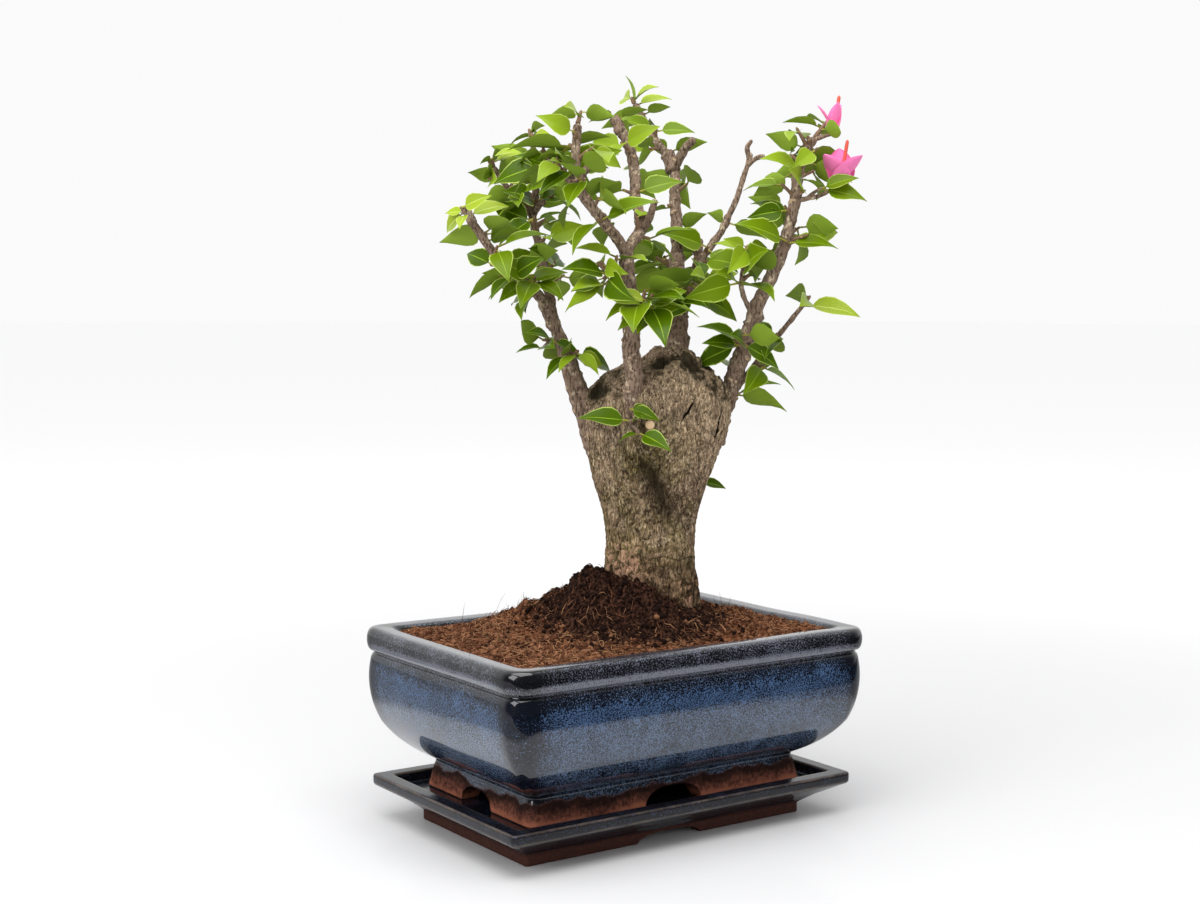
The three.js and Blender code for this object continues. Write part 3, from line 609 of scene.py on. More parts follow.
# Crumbs: rough balls, four rings of six points, sunk a third into the soil
def crumbSurface():
    x, y = soilPlaces(soil["crumbs"], soil["seed"])
    index = np.arange(len(x))
    size = soil["crumbSize"][0] + soil["crumbSize"][1] * chance(soil["seed"] + 1, index) ** 3
    tilt = np.radians([-80, -30, 30, 80])
    turn = np.arange(6) * np.pi / 3
    ball = np.stack([np.cos(tilt)[:, None] * np.cos(turn), np.cos(tilt)[:, None] * np.sin(turn),
                     np.repeat(np.sin(tilt)[:, None], 6, 1) * 0.8], -1)
    grid = ball[None] * size[:, None, None, None]
    grid = grid * (1 + 0.6 * lumps(grid + index[:, None, None, None] * 9.7, size.mean(), 7))[..., None]
    middle = np.stack([x, y, crumbledHeight(x, y) + 0.2 * size], -1)
    return bitSurface(grid + middle[:, None, None], bitKinds(x, y, soil["seed"] + 2, 1, 2))


# Fibres: thin three-sided strands, each an arc that rises and dips along the soil
def fibreSurface():
    x, y = soilPlaces(soil["fibres"], soil["seed"] + 5)
    index = np.arange(len(x))
    draw = [chance(soil["seed"] + 6, 10 * index + i)[:, None] for i in range(5)]
    length = 2.5 + 7 * draw[0] ** 2 + 8 * draw[0] ** 24
    turn = 2 * np.pi * draw[1]
    t = np.linspace(-0.5, 0.5, 6)
    bend = (draw[2] - 0.5) * length * (t * t - 0.08) * 2.2
    pathX = x[:, None] + np.cos(turn) * length * t - np.sin(turn) * bend
    pathY = y[:, None] + np.sin(turn) * length * t + np.cos(turn) * bend
    limit = np.array(pot["half"]) - soil["setback"] - 1
    pathX, pathY = np.clip(pathX, -limit[0], limit[0]), np.clip(pathY, -limit[1], limit[1])
    tipLift = (2.5 * draw[3] ** 3 + 4 * draw[3] ** 30 + 12 * draw[3] ** 400) * (t + 0.5) ** 2
    height = crumbledHeight(pathX, pathY) + 0.5 + tipLift
    middle = np.stack([pathX, pathY, height], -1)
    around = np.arange(3) * 2 * np.pi / 3
    thickness = (0.12 + 0.12 * draw[4]) * np.sqrt(1.05 - (2 * t) ** 2)
    across = np.stack([-np.sin(turn), np.cos(turn), 0 * turn], -1)
    ring = (np.cos(around)[None, None, :, None] * across[:, :, None]
            + np.sin(around)[None, None, :, None] * upward)
    grid = middle[:, :, None] + ring * thickness[..., None, None]
    return bitSurface(grid, bitKinds(x, y, soil["seed"] + 8, 0.92, 3))


# Browns by coarse and fine noise, pale strands, darker earth in the heap, and near-black painted shade in
# crevices
def soilFinish():
    finish = Finish("coir soil")
    near = finish.value("near")
    coarse, fine = finish.noise(90, 5, 0.65), finish.noise(520, 4, 0.7)
    strand = finish.noise(260, 3, 0.6, (1, 4, 2), 1.5)
    # near-black where the fine noise is low: painted shade in the heap's crevices
    earth = finish.mix(finish.ease(fine, 0.4, 0.62), rgb(3, 1, 0), rgb(64, 42, 33))
    color = finish.layered(
        finish.mix(finish.ease(coarse, 0.35, 0.65), rgb(58, 30, 16), rgb(110, 68, 44)),
        (finish.ease(fine, 0.48, 0.68), (152, 108, 80)),
        (finish.ease(strand, 0.62, 0.75) * 0.6, (176, 140, 108)),
        # the lowest fine noise goes near-black: painted shade in the soil's crevices
        ((1 - finish.ease(fine, 0.36, 0.49)) * 0.9, (22, 9, 4)),
        (finish.ease(near, 0.25, 0.7) * 0.95, earth))
    return finish.surface(**{"Base Color": color, "Roughness": 0.95, "Specular IOR Level": 0.05,
                             "Normal": finish.bump(fine + strand * 0.6, 0.9, 0.0015)})


surface, values = soilSurface()
makePiece("soil_heaped", surface, [soilFinish()], ["soil"], values)
crumbColors = {"brown crumb": (82, 50, 34), "pale crumb": (114, 78, 56), "dark crumb": (24, 11, 7)}
fibreColors = {"pale fibre": (164, 122, 88), "brown fibre": (114, 74, 50), "dark fibre": (30, 15, 10)}
makePiece("soil_crumbs", crumbSurface(), plainFinishes(crumbColors, 0.95))
makePiece("soil_fibres", fibreSurface(), plainFinishes(fibreColors, 0.9))


# Trunk

trunk = {
    "footZ": 10,
    "shoulderZ": 143,
    "waist": 27.6,
    "flare": (4, 9),
    "swelling": (15.5, 62, 130),
    "waisting": (2.4, 106, 20),
    "depth": 0.86,
    "lean": 4,
    "flutes": [(2, 0.04, 1), (5, 0.025, 2)],
    "top": [(43.1, 4, 0, 143), (28.5, 7.5, -6, 158), (11, 11, -4, 170.5), (0.5, 11, -4, 173)],
    # swells, hollows and root strands: turn in degrees, height, how far out, half turn, half height
    "relief": [(-88, 88, -3.2, 14, 24), (-52, 100, 2.2, 18, 26), (-122, 92, 2, 16, 24),
               (-162, 97, 2.4, 16, 13), (-128, 38, 2.4, 16, 12), (-54, 22, 3, 14, 16),
               (-12, 66, -2.4, 16, 22), (20, 96, 2.2, 18, 26), (36, 24, 2.8, 14, 15), (92, 74, -3, 15, 28),
               (108, 24, 3, 14, 16), (146, 92, 2.6, 18, 28), (180, 52, -2.2, 16, 16)],
    "columns": 340,
    "sideRows": 200,
    "topRows": 84,
    "bulge": 0.6,
    "fissure": 0.9,
    "hollows": [(5, -20, 165, 5, 6), (-34, -16, 146, 3, 6), (24, -20, 163, 2.5, 6)],  # place, depth, reach
    "stub": {"place": (-1, -35, 128.2), "radius": 2.5, "length": 5.5, "columns": 20},
    "grain": 0.35,
    # turn in degrees, height, half width in degrees, half height, depth, lean
    "cracks": [(-64.7, 136, 1.2, 5, 2.2, 2.4), (-35, 126.4, 1.4, 9, 2.2, 0.64)],
    "crest": [(3, -28, 9, 136, 150), (-3, -6, 5, 158, 167)],  # rise, place, half width, heights
    # share, place, half width, height, half height
    "paleSpots": [(1.3, -25, 6, 103, 10), (1.2, -22, 2.2, 76, 6)],
    "warps": [(3.0, 11), (1.3, 30)],  # size and seed
    "seamZ": 48,
}


# The trunk: an ellipse at each height, wider at the foot by a fading flare and towards the shoulder by
# an eased swelling, fluted by cosine waves; above it a sloping cut top. Relief is added square to it.
def trunkSurface():
    z = np.linspace(trunk["footZ"], trunk["shoulderZ"], trunk["sideRows"], endpoint=False)
    share = (z - trunk["footZ"]) / (trunk["shoulderZ"] - trunk["footZ"])
    flare = trunk["flare"][0] * np.exp(-(z - trunk["footZ"]) / trunk["flare"][1])
    swell = trunk["swelling"][0] * ease(z, *trunk["swelling"][1:])
    side = np.stack([trunk["waist"] + flare + swell, trunk["lean"] * share**2, 0 * z, z], -1)
    top = np.array(trunk["top"], float)
    steps = np.concatenate([[0], np.cumsum(np.hypot(np.diff(top[:, 0]), np.diff(top[:, 3])))])
    places = np.linspace(0, steps[-1], trunk["topRows"])
    cap = np.stack([np.interp(places, steps, top[:, i]) for i in range(4)], -1)
    rows = np.concatenate([side, cap])
    padded = np.pad(rows, ((4, 4), (0, 0)), "edge")
    rows[1:-1] = np.mean([padded[i:i + len(rows)] for i in range(9)], axis=0)[1:-1]
    angle = np.linspace(0, 2 * np.pi, trunk["columns"], endpoint=False)
    flute = 1 + sum(size * np.cos(count * angle + turn) for count, size, turn in trunk["flutes"])
    half, x, y, height = (rows[:, i:i + 1] for i in range(4))
    degrees = np.degrees(angle)
    swells = sum(out * bell((degrees - turn + 180) % 360 - 180, halfTurn) * bell(height - z, halfHeight)
                 for turn, z, out, halfTurn, halfHeight in trunk["relief"])
    slimmer, waistZ, halfWaist = trunk["waisting"]
    reach = half * flute + swells - slimmer * bell(height - waistZ, halfWaist)
    grid = np.stack([x + reach * np.cos(angle), y + reach * trunk["depth"] * np.sin(angle),
                     height + 0 * reach], -1)
    acrossSlope = np.roll(grid, -1, 1) - np.roll(grid, 1, 1)
    outward = unit(np.cross(acrossSlope, np.gradient(grid, axis=0)))
    isTop = ease(height + 0 * reach + 10 * np.cos(angle), 146, 154)
    warp = grid + sum(size * np.stack([lumps(grid, 3.6 * size, seed + i) for i in range(3)], -1)
                      for size, seed in trunk["warps"])
    bulge = trunk["bulge"] * (lumps(grid, (16, 16, 24), 14) + 0.6 * lumps(grid, (8, 8, 12), 15))
    long = bell(lumps(warp, (2.6, 2.6, 8), 16), 0.2)
    short = bell(lumps(warp, (1.8, 1.8, 3.4), 17), 0.18)
    fissure = trunk["fissure"] * (0.9 * long + 0.6 * short) * (0.75 + 0.35 * lumps(grid, 18, 18))
    collar = 0.9 * bell(grid[..., 2] - 47 - 6 * lumps(grid, 14, 19), 4) * (0.5 + 0.5 * lumps(grid, 9, 20))
    strands = ease(-grid[..., 2], -46, -34) * 1.4 * lumps(grid, (4, 4, 26), 21)
    chisel = isTop * (2.0 * ease(lumps(grid, (14, 14, 10), 22), -0.06, 0.06) - 1.0
                      + ease(lumps(grid, (5, 5, 8), 26), -0.1, 0.1) - 0.5)
    gouge, crack = 0, 0
    for turn, crackZ, halfTurn, halfHeight, depth, lean in trunk["cracks"]:
        offset = grid[..., 2] - crackZ
        away = degrees[None] - (turn % 360) - lean * offset * 0.3 + 1.5 * lumps(grid, 4, 33)
        line = bell(away, halfTurn) * np.exp(-np.abs(offset / halfHeight) ** 4)
        gouge, crack = gouge + depth * line, crack + line
    hollow = sum(depth * bell(np.linalg.norm(grid - place, axis=-1), reach)
                 for *place, depth, reach in trunk["hollows"])
    gouge = gouge + hollow
    relief = trunk["grain"] * lumps(grid, 1.3, 23) - fissure
    moved = bulge + relief + collar + strands + chisel - gouge
    rowsLeft = len(grid) - np.arange(len(grid))
    grid = grid + outward * (moved * ease(rowsLeft, 2, 14)[:, None])[..., None]
    right, tall = grid[..., 0], grid[..., 2]
    grid[..., 2] += sum(rise * bell(right - place, halfWidth) * ease(tall, low, high)
                        for rise, place, halfWidth, low, high in trunk["crest"])
    # a painted shadow band running at a slant down the front
    shadowBand = bell(right - 2 - 0.43 * (94 - tall), 8.5) * ease(tall, 58, 84) * ease(-tall, -118, -102)
    strand = bell(right - 22, 8) * ease(-tall, -44, -30) * ease(lumps(grid, (1.8, 1.8, 20), 31), -0.05, 0.25)
    flaky = bell(right + 17, 17) * bell(tall - 44, 13) + strand
    # dark of the cut top: its right rim, with painted shade on the left shoulder and in the hollows
    ridge = ease(tall + 0.87 * (right - 11) + 3 * lumps(grid, 6, 25), 162, 169) * ease(right, 4, 12)
    facet = ease(-right, 13, 19) * ease(tall, 138, 147)
    streaks = 0.5 + 0.5 * lumps(grid, (2.5, 2.5, 9), 27) + 0.3 * lumps(grid, 1.6, 28)
    cutAndShade = ridge * streaks + facet * (0.5 + 0.5 * lumps(grid, (7, 7, 4), 24)) + 0.3 * hollow
    # pale: the right side lighter as painted light, plus pale spots and a pale line above the seam
    pale = ease(right + 4 * lumps(grid, 12, 29), 2, 26) * ease(tall, 84, 112)
    for share, place, halfWidth, spotZ, halfHeight in trunk["paleSpots"]:
        pale = pale + share * bell(right - place, halfWidth) * bell(tall - spotZ, halfHeight)
    seam = tall - trunk["seamZ"] - 3 * lumps(grid, 8, 34)
    inFront = ease(right, -12, -4) * (grid[..., 1] < 0)
    crack = crack + 0.4 * bell(seam, 0.7) * inFront
    pale = pale + 0.7 * bell(seam - 2.4, 1.3) * inFront
    values = {"relief": relief - 0.5 * gouge, "shadowBand": shadowBand * (grid[..., 1] < 0), "flaky": flaky,
              "cutAndShade": cutAndShade, "pale": pale, "crack": crack}
    return tubes(onTree(grid)[None]), values


# Browns and greys laid over each other by noise at several scales and by the values from the surface
def trunkFinish():
    finish = Finish("trunk bark")
    names = ("relief", "shadowBand", "flaky", "cutAndShade", "pale", "crack")
    relief, shadowBand, flaky, cutAndShade, pale, crack = (finish.value(name) for name in names)
    height = finish.axis("Z")
    broad, patch = finish.noise(22, 4, 0.6), finish.noise(70, 4, 0.6)
    mottle = finish.noise(230, 4, 0.65, (1, 1, 0.8), 1.0)
    fine = finish.noise(700, 3, 0.6, (1, 1, 0.5))
    wavy, wavier = finish.noise(420, 2, 0.5, (1, 1, 0.2), 1.2), finish.noise(740, 2, 0.5, (1, 1, 0.26), 1.3)
    crease = 1 - finish.ease(abs(wavy - 0.5), 0.0, 0.045)
    hair = 1 - finish.ease(abs(wavier - 0.5), 0.0, 0.06)
    # darker where the relief sinks: painted shade in fissures, gouges and hollows
    dark = 1 - finish.ease(relief + fine * 0.4, -0.75, 0.1)
    earthy = (1 - finish.ease(height + patch * 0.03, 0.15, 0.182)) * 0.88
    color = finish.layered(
        finish.mix(finish.ease(broad, 0.4, 0.6), rgb(150, 125, 102), rgb(135, 119, 78)),
        (finish.ease(height + patch * 0.04, 0.225, 0.27) * 0.55, (168, 144, 124)),
        (finish.ease(patch, 0.52, 0.68) * 0.6, (166, 143, 121)),
        # pale: painted light on the right side, and pale spots and seam line
        (pale * 0.6, (188, 162, 132)),
        (finish.ease(mottle, 0.5, 0.64) * 0.32, (222, 202, 168)),
        (finish.ease(fine, 0.5, 0.7) * 0.4, (216, 200, 164)),
        (dark * (0.55 - pale * 0.2), (36, 26, 12)),
        ((1 - finish.ease(mottle, 0.36, 0.46)) * (0.32 - pale * 0.15), (48, 37, 20)),
        (crease * (0.88 - pale * 0.2), (34, 24, 12)),
        (hair * 0.6, (56, 42, 24)),
        # painted shadow band down the front
        (shadowBand * 0.9, (34, 27, 12)),
        (earthy, finish.mix(finish.ease(mottle, 0.4, 0.6), rgb(40, 26, 16), rgb(112, 90, 66))),
        (flaky * finish.ease(mottle, 0.45, 0.56) * 0.9, (184, 144, 118)),
        (hair * earthy * 0.7, (30, 18, 11)),
        # the cut top's dark rim, with painted shade on the left shoulder and in the hollows
        (finish.ease(cutAndShade, 0.3, 0.8) * 0.86, (32, 30, 17)),
        (finish.ease(crack, 0.1, 0.5) * 0.97, (14, 9, 5)))
    return finish.surface(**{
        "Base Color": color, "Roughness": 0.92, "Specular IOR Level": 0.08,
        "Normal": finish.bump(fine * 0.5 + mottle - crease * 0.8 - hair * 0.4, 0.9, 0.001)})


# A sawn stub that faces the viewer: a short cylinder with a rounded rim
def stubSurface():
    stub = trunk["stub"]
    radius = stub["radius"] * np.array([1.1, 1.1, 1.05, 1.0, 0.86, 0.3])
    angle = np.linspace(0, 2 * np.pi, stub["columns"], endpoint=False)
    along = np.array([-2, -1, 0.5, 0.85, 1, 1]) * stub["length"] / 2
    grid = np.stack([radius[:, None] * np.cos(angle), -along[:, None] + 0 * angle,
                     radius[:, None] * np.sin(angle)], -1)
    return tubes(onTree(grid + stub["place"])[None])


surface, values = trunkSurface()
makePiece("trunk_barked", surface, [trunkFinish()], ["trunk"], values)
makePiece("trunk_stub", stubSurface(), [plainFinish("sawn wood", (226, 194, 156), 0.8)])
print("pot, tray, soil and trunk are in place")


# Boughs and stems

boughs = {
    "bough_left": {
        "path": [(-31.5, -3, 116), (-38.4, -5, 138), (-46.2, -8, 161), (-64.6, -12, 201)],
        "radii": (4.6, 3.6),
        "beside": ([(-53, -9, 172), (-46, -7, 146), (-37, -5, 118), (-30, -4, 98)], (3.0, 3.4), 20, 47)},
    "bough_front": {
        "path": [(-9.5, -24, 124), (-10.5, -29.5, 146), (-11.5, -36, 170), (-12.7, -37, 191),
                 (-15.2, -38, 226)],
        "radii": (5.6, 4.4)},
    "bough_back": {
        "path": [(15, 8, 160), (17.2, 14, 186), (17.7, 18, 200), (16, 28, 230)],
        "radii": (6.4, 4.6)},
    "bough_right": {
        "path": [(37, 0, 116), (44, -1, 136), (49, -4, 153), (54.8, -6, 170), (62.6, -8, 197)],
        "radii": (5.4, 4.6)},
}

limbForm = {
    "rowStep": 0.8,
    "fewestRows": 8,
    "boughColumns": 26,
    "twigColumns": 12,
    "spurColumns": 6,
    "wrinkle": 0.1,
    "knotStep": 6.5,
    "knot": 0.24,
    "collar": 0.35,
    "twigCollar": 0.15,
    "spurCollar": 0.3,
    "collarReach": 7,
    "sway": 0.22,
    "scarFrom": 0.23,
    "spurMark": 1,
    "scarMark": 2,
}


# A limb: circles along its path with the radius run from root to tip, swollen at bud scars by bells in
# turn and height, wrinkled lengthwise, and rounded off over the last radius of its length. It sways by a
# share of its radius, flare widens the root by a fading share, and the bud scars have their own finish.
def limbSurface(path, radii, columns, seed, flare=0.0, mark=0):
    rough = curveAt(path, np.linspace(0, 1, 40))
    length = np.linalg.norm(np.diff(rough, axis=0), axis=1).sum()
    rows = max(limbForm["fewestRows"], int(length / limbForm["rowStep"]))
    share = np.linspace(0, 1, rows)
    axis = headingAt(path, share)
    across = squareTo(sideways + 0 * axis, axis)
    onward = np.cross(axis, across)
    angle = np.linspace(0, 2 * np.pi, columns, endpoint=False)
    ring = across[:, None] * np.cos(angle)[:, None] + onward[:, None] * np.sin(angle)[:, None]
    radius = taper(radii, share) + flare * radii[0] * np.exp(-share * length / limbForm["collarReach"])
    radius = radius * np.sqrt(np.clip(1 - np.clip((share - 1) * length / radii[1] + 1, 0, 0.97) ** 2, 0, 1))
    middle = curveAt(path, share)
    sway = np.stack([lumps(middle, 13, seed + i) for i in (50, 51, 52)], -1)
    middle = middle + limbForm["sway"] * radii[0] * sway * bell(2 * share - 1, 0.7)[:, None]
    swell = np.zeros((rows, columns))
    for knot in range(int(length / limbForm["knotStep"])):
        spot = (knot + 0.5 + 0.6 * (chance(seed, 3 * knot) - 0.5)) * limbForm["knotStep"]
        turn = knot * goldenAngle + seed
        facing = 0.35 + 0.65 * np.exp(3 * (np.cos(angle - turn) - 1))
        swell = swell + limbForm["knot"] * bell(share * length - spot, 1.5)[:, None] * facing
    grid = middle[:, None] + ring * radius[:, None, None]
    bark = (lumps(grid, (2.2, 2.2, 7), seed) + 0.8 * lumps(grid, 1.4, seed + 1)
            + 0.9 * lumps(grid, 6, seed + 2))
    grid = middle[:, None] + ring * (radius[:, None] * (1 + swell + limbForm["wrinkle"] * bark))[..., None]
    vertices, faces, marks = tubes(onTree(grid)[None], mark)
    isScar = (swell + 0.12 * lumps(grid, 1.6, seed + 5) > limbForm["scarFrom"])[:-1].ravel()
    marks[0] = np.where(isScar, limbForm["scarMark"], mark)
    return vertices, faces, marks


# Greys by broad noise, pale patches, and dark lengthwise lines
def limbFinish():
    finish = Finish("bough bark")
    broad, patch = finish.noise(60, 3, 0.6), finish.noise(190, 4, 0.65)
    fine = finish.noise(900, 3, 0.6, (1, 1, 0.3))
    color = finish.layered(
        finish.mix(broad, rgb(112, 92, 80), rgb(142, 122, 104)),
        (finish.ease(patch, 0.53, 0.68) * 0.9, (194, 176, 150)),
        ((1 - finish.ease(fine, 0.36, 0.54)) * 0.8, (50, 39, 30)))
    return finish.surface(**{"Base Color": color, "Roughness": 0.88, "Specular IOR Level": 0.1,
                             "Normal": finish.bump(fine + patch, 0.7, 0.0007)})


woodLooks = [limbFinish(), plainFinish("spur bark", (120, 96, 76), 0.8),
             plainFinish("bud scar", (168, 144, 116), 0.9)]
for seed, (name, limb) in enumerate(boughs.items(), 31):
    surfaces = [limbSurface(limb["path"], limb["radii"], limbForm["boughColumns"], seed, limbForm["collar"])]
    if "beside" in limb:
        surfaces.append(limbSurface(*limb["beside"]))
    makePiece(name + "_bark", joined(surfaces), woodLooks, [name])


# Foliage

habit = {
    "tuftSpread": 0.6,
    "turnSpread": 0.7,
    "spurRise": 0.35,
    "spurAhead": 0.25,
    "tipSpur": 0.3,
    "shortestSpur": 0.4,
    "tipLeafSize": 0.75,
    "leafTwist": 0.9,
    "leafSpread": 0.5,
    "opening": (46, 40),
    "tipOpening": 16,
    "lift": (-0.12, 0.35),
    "length": (0.65, 0.5),
    "roll": 64,
    "faceOut": 1.5,
    "fromMiddle": 0.6,
    "droop": 0.25,
    "slope": (-0.46, 0.36),
    "sunk": 1.2,
    "stagger": 1.4,
    "spurRadii": (1.15, 0.75),
    "flush": {"tufts": 0.8, "spur": 1.5, "leaf": 0.88},
    "clear": {"potEdge": 0.3, "limb": 0.4, "leaf": 1.4},
    "tintLevel": (240, 180),
    "tintDraws": (0.3, 0.72),
    "rootedFrom": 0.86,
}


# An arm is a stem or twig: its path and radii, and what it bears: how many tufts, where the first may stand,
# the usual spur and leaf length, how many leaves a tuft has, the seed, and the seed of a second flush of
# finer spurs. A tip leaf has its own heading, length and roll in degrees.
def makeArm(path, radii, *borne, **more):
    keys = ("tufts", "first", "spur", "leaf", "leaves", "seed", "flush")
    return {"path": path, "radii": radii, **dict(zip(keys, borne)), **more}


masses = {
    "foliage_left_low": [
        makeArm([(-64.6, -12, 201), (-76, -17, 212), (-88, -22, 221.5), (-105, -32, 246)],
                (3.3, 2.4), 9, 0.02, 7, 23, 3, 426, 1157)],
    "foliage_left_high": [
        makeArm([(-57.5, -9, 187), (-63, 6, 219), (-70.7, 22, 250), (-69, 26, 266), (-71, 30, 293)],
                (2.9, 1.9), 12, 0.12, 9, 24, 2, 67, 1069),
        makeArm([(-70.7, 22, 250), (-81, 17, 260), (-94, 12, 279)], (1.9, 1.5),
                5, 0.3, 6, 23, 3, 601, 1023)],
    "foliage_left_foot": [
        makeArm([(-48.5, -9, 163), (-47, -15, 166), (-45, -22, 168)], (1.4, 1),
                3, 0.5, 4, 22, 2, 609, 1146)],
    "foliage_left_outer": [
        makeArm([(-53, -9, 175), (-57, -16, 176), (-62, -22, 177)], (1.4, 1),
                3, 0.5, 4, 22, 2, 438, 1284)],
    "foliage_front_left": [
        makeArm([(-15.2, -38, 226), (-28.4, -45, 244), (-41, -48, 261.5), (-44, -50, 279),
                 (-43, -46, 298.5)],
                (3.4, 2.4), 11, 0.16, 8, 27, 2, 869),
        makeArm([(-41.5, -48, 263), (-50.6, -44, 269.6), (-60.5, -38, 279.6)], (2, 1.5),
                4, 0.4, 6, 24, 3, 734, 1055)],
    "foliage_front_top": [
        makeArm([(-15.2, -38, 226), (-7, -24, 241), (-9.7, -10, 261), (-11.4, 2, 285), (-19.7, 6, 302)],
                (3.3, 3), 6, 0.1, 6, 24, 2, 806, 1081),
        makeArm([(-6, -24, 239), (-1.4, -32, 248), (1.3, -36, 257)], (2.2, 1.8))],
    "foliage_front_low_left": [
        makeArm([(-14, -38, 208), (-20, -43, 213), (-27, -47, 217)], (1.6, 1.1),
                4, 0.4, 5, 26, 3, 33, 1202)],
    "foliage_front_low_right": [
        makeArm([(-12.7, -37, 192), (-8, -44, 196), (-2, -50, 200)], (1.6, 1.1),
                4, 0.4, 5, 26, 3, 154, 1013)],
    "foliage_back_top": [
        makeArm([(16, 28, 230), (15.8, 40, 258), (14.2, 50, 283), (3, 56, 300), (-9.3, 60, 321.6)],
                (4.2, 2), 10, 0.08, 6, 21, 2, 750, young=0.9,
                tipLeaves=[((-0.15, 0, 1), 15, 0), ((0.9, 0, 0.35), 18, -30)]),
        makeArm([(14.5, 49, 280), (21, 44, 292), (27, 38, 298)], (2.8, 2.3))],
    "foliage_back_low": [
        makeArm([(17.5, 17, 198), (24, 10, 204), (31, 4, 209)], (1.6, 1.1), 4, 0.4, 5, 26, 3, 897, 1179)],
    "foliage_back_rear": [
        makeArm([(17, 22, 214), (14, 32, 219), (10, 41, 223)], (1.6, 1.1), 4, 0.4, 5, 26, 3, 251, 1036)],
    "foliage_back_side": [
        makeArm([(19, 17, 189), (25.4, 28, 209), (29.3, 34, 221), (45, 44, 243)], (2.8, 2.2),
                4, 0.35, 6, 24, 2, 257, 1188),
        makeArm([(44, 43.4, 241.5), (55, 49, 266), (63, 54, 291)], (1.9, 1.4)),
        makeArm([(27, 30, 213), (29.5, 36, 225), (31, 41, 238)], (2.6, 2.4))],
    "foliage_right_top": [
        makeArm([(62.6, -8, 197), (79, -12, 235), (85, -13, 269), (87, -13, 281.6), (94.5, -12, 294.4)],
                (4.5, 2.2), 13, 0.12, 7, 26, 2, 239, 1038),
        makeArm([(66, -8, 203), (69.3, 2, 211), (74, 10, 226)], (2.4, 2)),
        makeArm([(93.6, -12, 293), (100, -13, 295), (105, -12, 296.5)], (1.3, 0.9), bloom="upright"),
        makeArm([(84, -13, 258), (98, -15, 261), (109.5, -13, 267)], (1.3, 0.9), bloom="spreading"),
        makeArm([(90, -13.5, 259), (95, -17, 263), (98, -20, 265)], (1.0, 0.8),
                tipLeaves=[((0.93, -0.3, 0.33), 18, -48), ((0.95, -0.2, -0.16), 22, -58),
                           ((-0.5, -0.7, 0.3), 16, 20)])],
    "foliage_right_inner": [
        makeArm([(60, -8, 190), (52.3, -18, 207), (53.7, -28, 226.5)], (1.5, 1.2),
                4, 0.5, 5, 27, 3, 648, 1243)],
    "foliage_right_foot": [
        makeArm([(54, -6, 168), (53, -13, 173), (52, -20, 177)], (1.5, 1.1), 4, 0.5, 4, 25, 3, 123, 1208)],
    "foliage_right_low": [
        makeArm([(47, 4, 140), (54, 9, 150), (70.5, 8, 171.4), (90.5, -4, 198)], (2.1, 1.3),
                6, 0.12, 5, 25, 2, 814, young=0.8,
                tipLeaves=[((1, -0.2, -0.05), 27, -30)])],
    "foliage_trunk_front": [
        makeArm([(-11.3, -32, 127), (-11.5, -38, 130), (-12.3, -42, 131)], (1.4, 1.1),
                tipLeaves=[((-1, -0.2, 0.12), 24, 45), ((0.5, -0.6, 0.35), 9, -20)]),
        makeArm([(-11.4, -35, 128.5), (-13.5, -40, 135), (-13.6, -43, 139)], (1.1, 0.8),
                tipLeaves=[((0.91, -0.2, -0.3), 15.5, -52), ((0.9, 0.3, -0.1), 15, -30)]),
        makeArm([(-11.4, -35, 128.5), (-9, -41, 126), (-7.2, -43, 123)], (1.1, 0.8),
                tipLeaves=[((0.74, -0.62, -0.24), 19, -42), ((-0.9, -0.35, -0.15), 10, 20)])],
    "foliage_trunk_back": [
        makeArm([(12, 22, 86), (24, 30, 88), (33, 30, 89)], (1.3, 0.9),
                tipLeaves=[((1, -0.05, -0.08), 13, -40), ((0.2, 0.9, 0.3), 12, 10)])],
}


# A blade's upper side: as near to the light as its heading allows, then rolled about the heading
def leafFace(heading, roll, light=upward):
    lit = squareTo(light if abs(heading @ light) < nearlyAlong else sideways, heading)
    return lit * math.cos(roll) + np.cross(lit, heading) * math.sin(roll)


